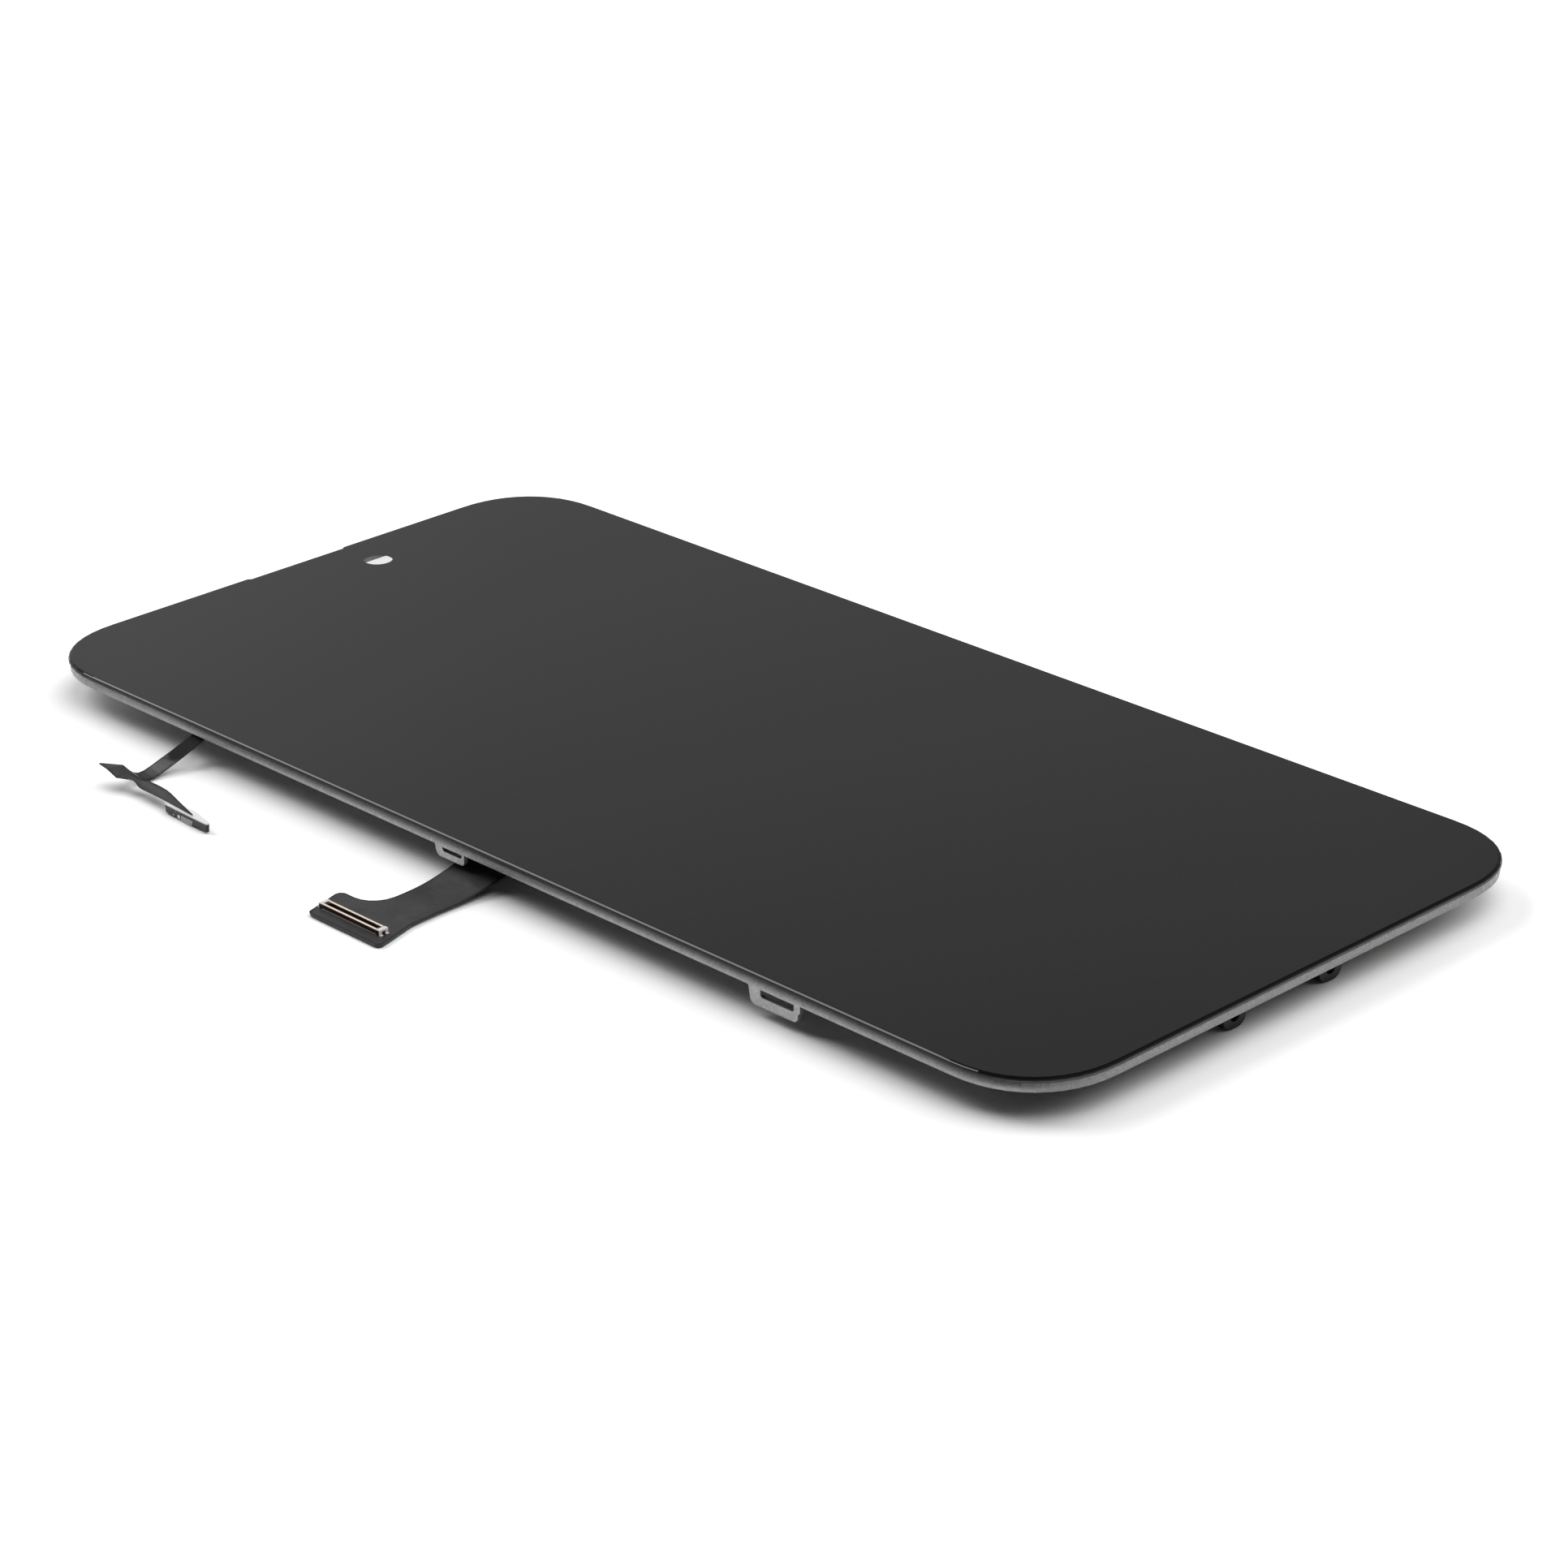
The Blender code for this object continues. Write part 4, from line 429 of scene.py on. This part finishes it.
def cover_glass_material():
    """Polished glass with a ground lower edge, printed black behind but for the camera window, and with
    bands of painted light on its end side.
    """
    material, tree = new_material("cover_glass_look")
    glass = principled(tree, gray(0.0), roughness=0.03)
    glass.inputs["IOR"].default_value = GLASS_IOR
    window = window_mask(tree)
    tree.links.new(window, glass.inputs["Transmission Weight"])

    printed = patches(tree, noise(tree, 1500.0, detail=2.0), PRINT_DARK, PRINT_LIGHT)
    # Painted light: the end side facing -Y is lighter, in grey bands by height.
    lit_end_side = map_range(tree, facing(tree)["Y"], GLASS_END_FACING)
    end_light_tone = gray_ramp(tree, height_of(tree, GLASS_LEVELS), GLASS_END_LIGHT_BANDS)
    toned = blend(tree, lit_end_side, printed, end_light_tone)
    tree.links.new(blend(tree, window, toned, gray(1.0)), glass.inputs["Base Color"])

    smears = noise(tree, 45.0, detail=4.0, roughness=0.6)
    finish = tree.nodes.new("ShaderNodeMix")
    tree.links.new(height_of(tree, GROUND_EDGE), finish.inputs["Factor"])
    tree.links.new(spread(tree, smears, *POLISHED_ROUGHNESS), finish.inputs["A"])
    tree.links.new(spread(tree, noise(tree, 2500.0), *GROUND_ROUGHNESS), finish.inputs["B"])
    outside = math_node(tree, "SUBTRACT", 1.0, window)
    rough = math_node(tree, "MULTIPLY", finish.outputs["Result"], outside)
    tree.links.new(rough, glass.inputs["Roughness"])
    show(tree, glass.outputs["BSDF"])
    return material


def frame_material():
    """Grey moulding: tones by height, with painted shade darkening the long sides towards the top, painted
    light making it paler at its ends, where it is less metallic, and painted shade underneath.
    """
    material, tree = new_material("frame_gray_look")
    shader = principled(tree, gray(0.25), roughness=0.45, metallic=FRAME_METALLIC)
    direction = facing(tree)
    # Painted light: paler where the moulding faces an end and near the earpiece end.
    towards_end = map_range(tree, math_node(tree, "ABSOLUTE", direction["Y"]), FRAME_END_FACING)
    near_end = map_range(tree, split_xyz(tree, coordinates(tree))["Y"], FRAME_END_PLACE)
    lit_end_share = math_node(tree, "MAXIMUM", towards_end, near_end)
    lost_metallic = FRAME_END_METALLIC - FRAME_METALLIC
    metallic = math_node(tree, "MULTIPLY_ADD", lit_end_share, lost_metallic, FRAME_METALLIC)
    tree.links.new(metallic, shader.inputs["Metallic"])

    # Painted shade darkens the long sides towards the top; painted light makes the ends paler, most near
    # the top.
    side_shade_tone = gray_ramp(tree, height_of(tree, FRAME_LEVELS), FRAME_SIDE_SHADE_BANDS)
    end_light_tone = gray_ramp(tree, height_of(tree, FRAME_LEVELS), FRAME_END_LIGHT_BANDS)
    grain = spread(tree, noise(tree, 3500.0, detail=4.0, roughness=0.8), 0.70, 1.30)
    grained = scaled(tree, blend(tree, lit_end_share, side_shade_tone, end_light_tone), grain)
    # Painted shade: faces that look down are near black.
    shaded_under = math_node(tree, "LESS_THAN", direction["Z"], UNDERSIDE_FACING)
    tree.links.new(blend(tree, shaded_under, grained, UNDERSIDE_SHADE_COLOR), shader.inputs["Base Color"])
    tree.links.new(spread(tree, noise(tree, 1800.0), 0.38, 0.52), shader.inputs["Roughness"])
    tree.links.new(bump(tree, noise(tree, 16000.0, detail=2.0), 2.5e-6), shader.inputs["Normal"])
    show(tree, shader.outputs["BSDF"])
    return material


def contact_material():
    """Gold-plated contacts by height: a pale rail, partly painted highlight, legs darkened as painted
    shade, and bright foot tips.
    """
    material, tree = new_material("gold_contacts")
    shader = principled(tree, RAIL_GOLD_AND_HIGHLIGHT, roughness=0.34, metallic=0.25)
    # Painted shade darkens the legs; the rail's pale tone is partly a painted highlight.
    shade = ramp(tree, height_of(tree, CONTACT_LEVELS), CONTACT_BANDS)
    wear = patches(tree, noise(tree, 2500.0), gray(0.90), gray(1.0))
    worn = vector_node(tree, "MULTIPLY", shade, wear).outputs["Vector"]
    tree.links.new(worn, shader.inputs["Base Color"])
    tree.links.new(spread(tree, noise(tree, 4000.0, detail=2.0), 0.28, 0.40), shader.inputs["Roughness"])
    show(tree, shader.outputs["BSDF"])
    return material


def flex_material(name, outline, rough, lines=(), highlight_edge=None, matte_line=None):
    """Dark satin coverlay with a fine weave, a border darkened as painted edge shade, lines of other tones,
    and a cut edge lit as a painted highlight.
    """
    material, tree = new_material(name)
    shader = principled(tree, FLEX_COLOR, roughness=0.42)
    weave = spread(tree, noise(tree, 9000.0, detail=2.0), 0.82, 1.18)
    coverlay = patches(tree, noise(tree, 420.0, detail=4.0), FLEX_DARK, FLEX_LIGHT)
    color = scaled(tree, coverlay, weave)
    # Lines of painted shade and painted highlight, and a lighter band on the head.
    for points, inner, outer, tone in lines:
        color = blend(tree, line_mask(tree, points, inner, outer), color, gray(tone))
    # Painted edge shade along the outline.
    edge_shade = math_node(tree, "MULTIPLY", line_mask(tree, outline, *BORDER_FADE), BORDER_STRENGTH)
    color = blend(tree, edge_shade, color, gray(BORDER_SHADE_TONE))
    # Painted highlight: upright faces near the head edge are lit near white.
    if highlight_edge:
        near_edge = line_mask(tree, highlight_edge, *CUT_EDGE_FADE)
        edge_highlight = math_node(tree, "MULTIPLY", upright_faces(tree), near_edge)
        color = blend(tree, edge_highlight, color, gray(CUT_EDGE_HIGHLIGHT_TONE))
    tree.links.new(color, shader.inputs["Base Color"])

    roughness = spread(tree, noise(tree, 1200.0), *rough)
    if matte_line:
        matte = math_node(tree, "MULTIPLY", line_mask(tree, *matte_line), MATTE_ROUGHNESS)
        roughness = math_node(tree, "MAXIMUM", roughness, matte)
    tree.links.new(roughness, shader.inputs["Roughness"])
    tree.links.new(bump(tree, noise(tree, 12000.0, detail=2.0), 2e-6), shader.inputs["Normal"])
    show(tree, shader.outputs["BSDF"])
    return material


def clear_material():
    """Clear film or moulding with a faint haze."""
    material, tree = new_material("clear_layer")
    shader = principled(tree, gray(0.95), roughness=0.08)
    shader.inputs["Transmission Weight"].default_value = 0.9
    tree.links.new(spread(tree, noise(tree, 300.0), 0.04, 0.13), shader.inputs["Roughness"])
    show(tree, shader.outputs["BSDF"])
    return material


# The CAD nodes' looks
def assign(material, *names):
    for name in names:
        item = nodes[name]
        if not item.data.materials:
            item.data.materials.append(material)
        for slot in item.material_slots:
            slot.material = material


def dress_front():
    ink = surface("black_print", (0.010, 0.010, 0.011), shift=0.2, rough=0.5, grain=30000.0, depth=5e-7)
    collar = surface(
        "collar_gray", gray(0.80), shift=0.08, rough=0.45, metallic=0.7, grain=16000.0, patch=900.0,
    )
    mesh = surface("mesh_look", gray(0.008), shift=0.3, rough=0.7, grain=6000.0, depth=2e-5, patch=3000.0)
    assign(cover_glass_material(), "cover_glass")
    assign(ink, "border_mask", "frame_adhesive")
    assign(frame_material(), "bezel_frame")
    assign(collar, "camera_collar")
    assign(mesh, "earpiece_mesh")


def dress_back():
    black = surface(
        "black_moulding", (0.014, 0.014, 0.015), shift=0.25, rough=0.42, grain=9000.0, depth=3e-6,
    )
    tray = surface(
        "tray_steel", (0.24, 0.24, 0.245), shift=0.08, rough=0.36, metallic=0.9,
        grain=9000.0, depth=1e-6, stretch=(1, 0.06, 1), patch=250.0,
    )
    # Painted shade: the tray's upright sides are near black.
    shade_upright_faces(tray, gray(0.02))
    can = surface(
        "shield_steel", (0.60, 0.59, 0.57), shift=0.05, rough=0.28, metallic=1.0,
        grain=7000.0, depth=1e-6, patch=500.0,
    )
    assign(black, "screw_lug_left", "screw_lug_right", "flex_tape")
    assign(tray, "rear_tray", "top_hook_left", "top_hook_right")
    assign(can, "flex_shield_can")


def dress_flexes():
    display = flex_material("display_coverlay", DISPLAY_OUTLINE, rough=(0.34, 0.50))
    touch = flex_material(
        "touch_coverlay", TOUCH_OUTLINE, rough=(0.32, 0.38), lines=TOUCH_LINES,
        highlight_edge=HEAD_HIGHLIGHT_EDGE, matte_line=MATTE_LINE,
    )
    stiffener = surface(
        "stiffener_look", (0.030, 0.029, 0.028), shift=0.2, rough=0.5, grain=8000.0, depth=2e-6,
    )
    # Painted reflection: the plate's top is near-white diffuse, standing in for the bright floor it
    # reflects.
    reflection_plate = surface(
        "plate_painted_reflection", gray(0.97), shift=0.02, rough=0.30, metallic=0.15,
        grain=9000.0, depth=4e-7, rough_shift=0.04,
    )
    assign(display, "display_flex")
    assign(touch, "touch_flex")
    assign(stiffener, "display_flex_stiffener")
    assign(reflection_plate, "touch_connector_plate")


def dress_connectors():
    housing = surface(
        "connector_housing", (0.012, 0.009, 0.008), shift=0.2, rough=0.42,
        grain=16000.0, depth=2e-6, patch=1500.0,
    )
    silver = surface(
        "silver_plates", (0.97, 0.89, 0.88), shift=0.05, rough=0.30, metallic=0.25,
        grain=14000.0, depth=8e-7, patch=1500.0,
    )
    pins = surface(
        "pale_pins", (0.86, 0.85, 0.83), shift=0.06, rough=0.30, metallic=0.3,
        grain=14000.0, depth=8e-7, patch=1500.0,
    )
    assign(housing, "display_connector_body", "touch_connector_body")
    assign(contact_material(), "display_contacts_outer", "display_contacts_inner")
    assign(silver, "display_end_plate_lower", "display_end_plate_upper")
    assign(pins, "touch_contacts_outer", "touch_contacts_inner")


def dress_layers():
    white = surface("white_moulding", (0.78, 0.78, 0.76), shift=0.04, rough=0.5, grain=8000.0, depth=2e-6)
    amber = surface(
        "driver_film_look", (0.22, 0.10, 0.025), shift=0.15, rough=0.32,
        grain=9000.0, depth=1e-6, patch=600.0,
    )
    chip = surface("chip_look", (0.035, 0.035, 0.04), shift=0.2, rough=0.3, depth=1e-6, patch=1200.0)
    polarizer = surface(
        "polarizer_look", (0.012, 0.012, 0.014), shift=0.15, rough=0.15, grain=5000.0, depth=3e-7,
    )
    cell = surface("cell_glass", (0.05, 0.055, 0.056), shift=0.1, rough=0.08, grain=3000.0, depth=2e-7)
    film = surface(
        "film_look", (0.72, 0.74, 0.75), shift=0.03, rough=0.32,
        grain=2500.0, depth=1e-6, stretch=(0.05, 1, 1),
    )
    mirror = surface(
        "reflector_look", gray(0.86), shift=0.02, rough=0.16, metallic=1.0, grain=4000.0, depth=4e-7,
    )
    assign(white, "backlight_frame", "led_bar")
    assign(amber, "driver_film")
    assign(chip, "driver_chip")
    assign(polarizer, "front_polarizer", "rear_polarizer")
    assign(cell, "color_filter_glass", "tft_glass")
    assign(film, "upper_prism_film", "lower_prism_film", "diffuser_film")
    assign(mirror, "reflector_film")
    assign(clear_material(), "optical_adhesive", "touch_sensor", "light_guide")


# Added pieces
def solder_dome(name, middle, radius, bulge, material):
    """A low dome on the outer face of the small connector."""
    shape = bmesh.new()
    placed = Matrix.Translation([value * MM for value in middle])
    sized = Matrix.Diagonal((bulge * MM, radius * MM, radius * MM, 1.0))
    bmesh.ops.create_uvsphere(shape, u_segments=24, v_segments=14, radius=1.0, matrix=placed @ sized)
    mesh = bpy.data.meshes.new(name)
    shape.to_mesh(mesh)
    shape.free()
    mesh.shade_smooth()
    mesh.materials.append(material)
    dome = add_object(name, mesh)
    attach(dome, "root")


def make_domes():
    lit_solder = surface(
        "solder_painted_highlight", (0.95, 0.95, 0.94), shift=0.04, rough=0.25, metallic=0.3,
        grain=9000.0, depth=4e-7, patch=2000.0,
    )
    shaded_solder = surface(
        "solder_painted_shade", gray(0.32), shift=0.10, rough=0.35, metallic=0.3,
        grain=9000.0, depth=4e-7, patch=2000.0,
    )
    # Painted highlight on one dome, painted shade on the other two.
    solder_dome(*LIT_DOME, lit_solder)
    for dome in SHADED_DOMES:
        solder_dome(*dome, shaded_solder)


# Floor, world and lamps
def diffuse(tree, tone):
    shader = tree.nodes.new("ShaderNodeBsdfDiffuse")
    shader.inputs["Color"].default_value = (*gray(tone), 1.0)
    return shader.outputs["BSDF"]


def mix_shaders(tree, share, first, second):
    node = tree.nodes.new("ShaderNodeMixShader")
    set_inputs(tree, node, (share, first, second))
    return node.outputs["Shader"]


def floor_material():
    """White to the eye, to gloss and through glass, but plainer to the light that bounces off it."""
    material, tree = new_material("floor_white")
    path = tree.nodes.new("ShaderNodeLightPath")
    white = tree.nodes.new("ShaderNodeEmission")
    seen = math_node(tree, "MAXIMUM", path.outputs["Is Camera Ray"], path.outputs["Is Glossy Ray"])
    lit = mix_shaders(tree, seen, diffuse(tree, FLOOR_BOUNCE), diffuse(tree, FLOOR_SEEN))
    show(tree, mix_shaders(tree, path.outputs["Is Transmission Ray"], lit, white.outputs["Emission"]))
    return material


def make_floor():
    shape = bmesh.new()
    bmesh.ops.create_grid(shape, x_segments=1, y_segments=1, size=FLOOR_SIZE)
    mesh = bpy.data.meshes.new("floor")
    shape.to_mesh(mesh)
    shape.free()
    mesh.materials.append(floor_material())
    floor = add_object("floor", mesh)
    floor.location.z = cad_low.z - FLOOR_GAP


def make_world():
    """Dim studio surroundings, paler towards the back left of the picture."""
    world = bpy.data.worlds.new("studio")
    bpy.context.scene.world = world
    world.use_nodes = True
    tree = world.node_tree
    tree.nodes.clear()
    source = tree.nodes.new("ShaderNodeTexCoord")
    direction = source.outputs["Generated"]
    towards_pale = vector_node(tree, "DOT_PRODUCT", direction, PALE_SIDE).outputs["Value"]
    level = math_node(tree, "MULTIPLY_ADD", towards_pale, 0.5, 0.5)
    height = split_xyz(tree, direction)["Z"]
    ceiling = map_range(tree, height, CEILING_HEIGHTS, (1.0, CEILING_TONE), "SMOOTHSTEP")
    path = tree.nodes.new("ShaderNodeLightPath")
    share = math_node(tree, "MULTIPLY_ADD", path.outputs["Is Glossy Ray"], 1.0 - WORLD_LIGHT, WORLD_LIGHT)
    background = tree.nodes.new("ShaderNodeBackground")
    tree.links.new(gray_ramp(tree, level, WORLD_TONES), background.inputs["Color"])
    tree.links.new(math_node(tree, "MULTIPLY", ceiling, share), background.inputs["Strength"])
    output = tree.nodes.new("ShaderNodeOutputWorld")
    tree.links.new(background.outputs["Background"], output.inputs["Surface"])


def softbox(name, azimuth, elevation, width, height, radiance, glossy):
    """A rectangular lamp of a given brightness, facing the part."""
    turn = math.radians(azimuth)
    rise = math.radians(elevation)
    direction = Vector((math.cos(rise) * math.cos(turn), math.cos(rise) * math.sin(turn), math.sin(rise)))
    data = bpy.data.lights.new(name, "AREA")
    data.shape = "RECTANGLE"
    data.size = width
    data.size_y = height
    data.energy = radiance * math.pi * width * height
    lamp = add_object(name, data)
    lamp.location = direction * LAMP_DISTANCE
    lamp.rotation_mode = "QUATERNION"
    lamp.rotation_quaternion = direction.to_track_quat("Z", "Y")
    lamp.visible_glossy = glossy


make_camera()
dress_front()
dress_back()
dress_flexes()
dress_connectors()
dress_layers()
make_domes()
make_floor()
make_world()
for lamp in SOFTBOXES:
    softbox(*lamp)
bpy.context.scene.view_settings.view_transform = "Standard"
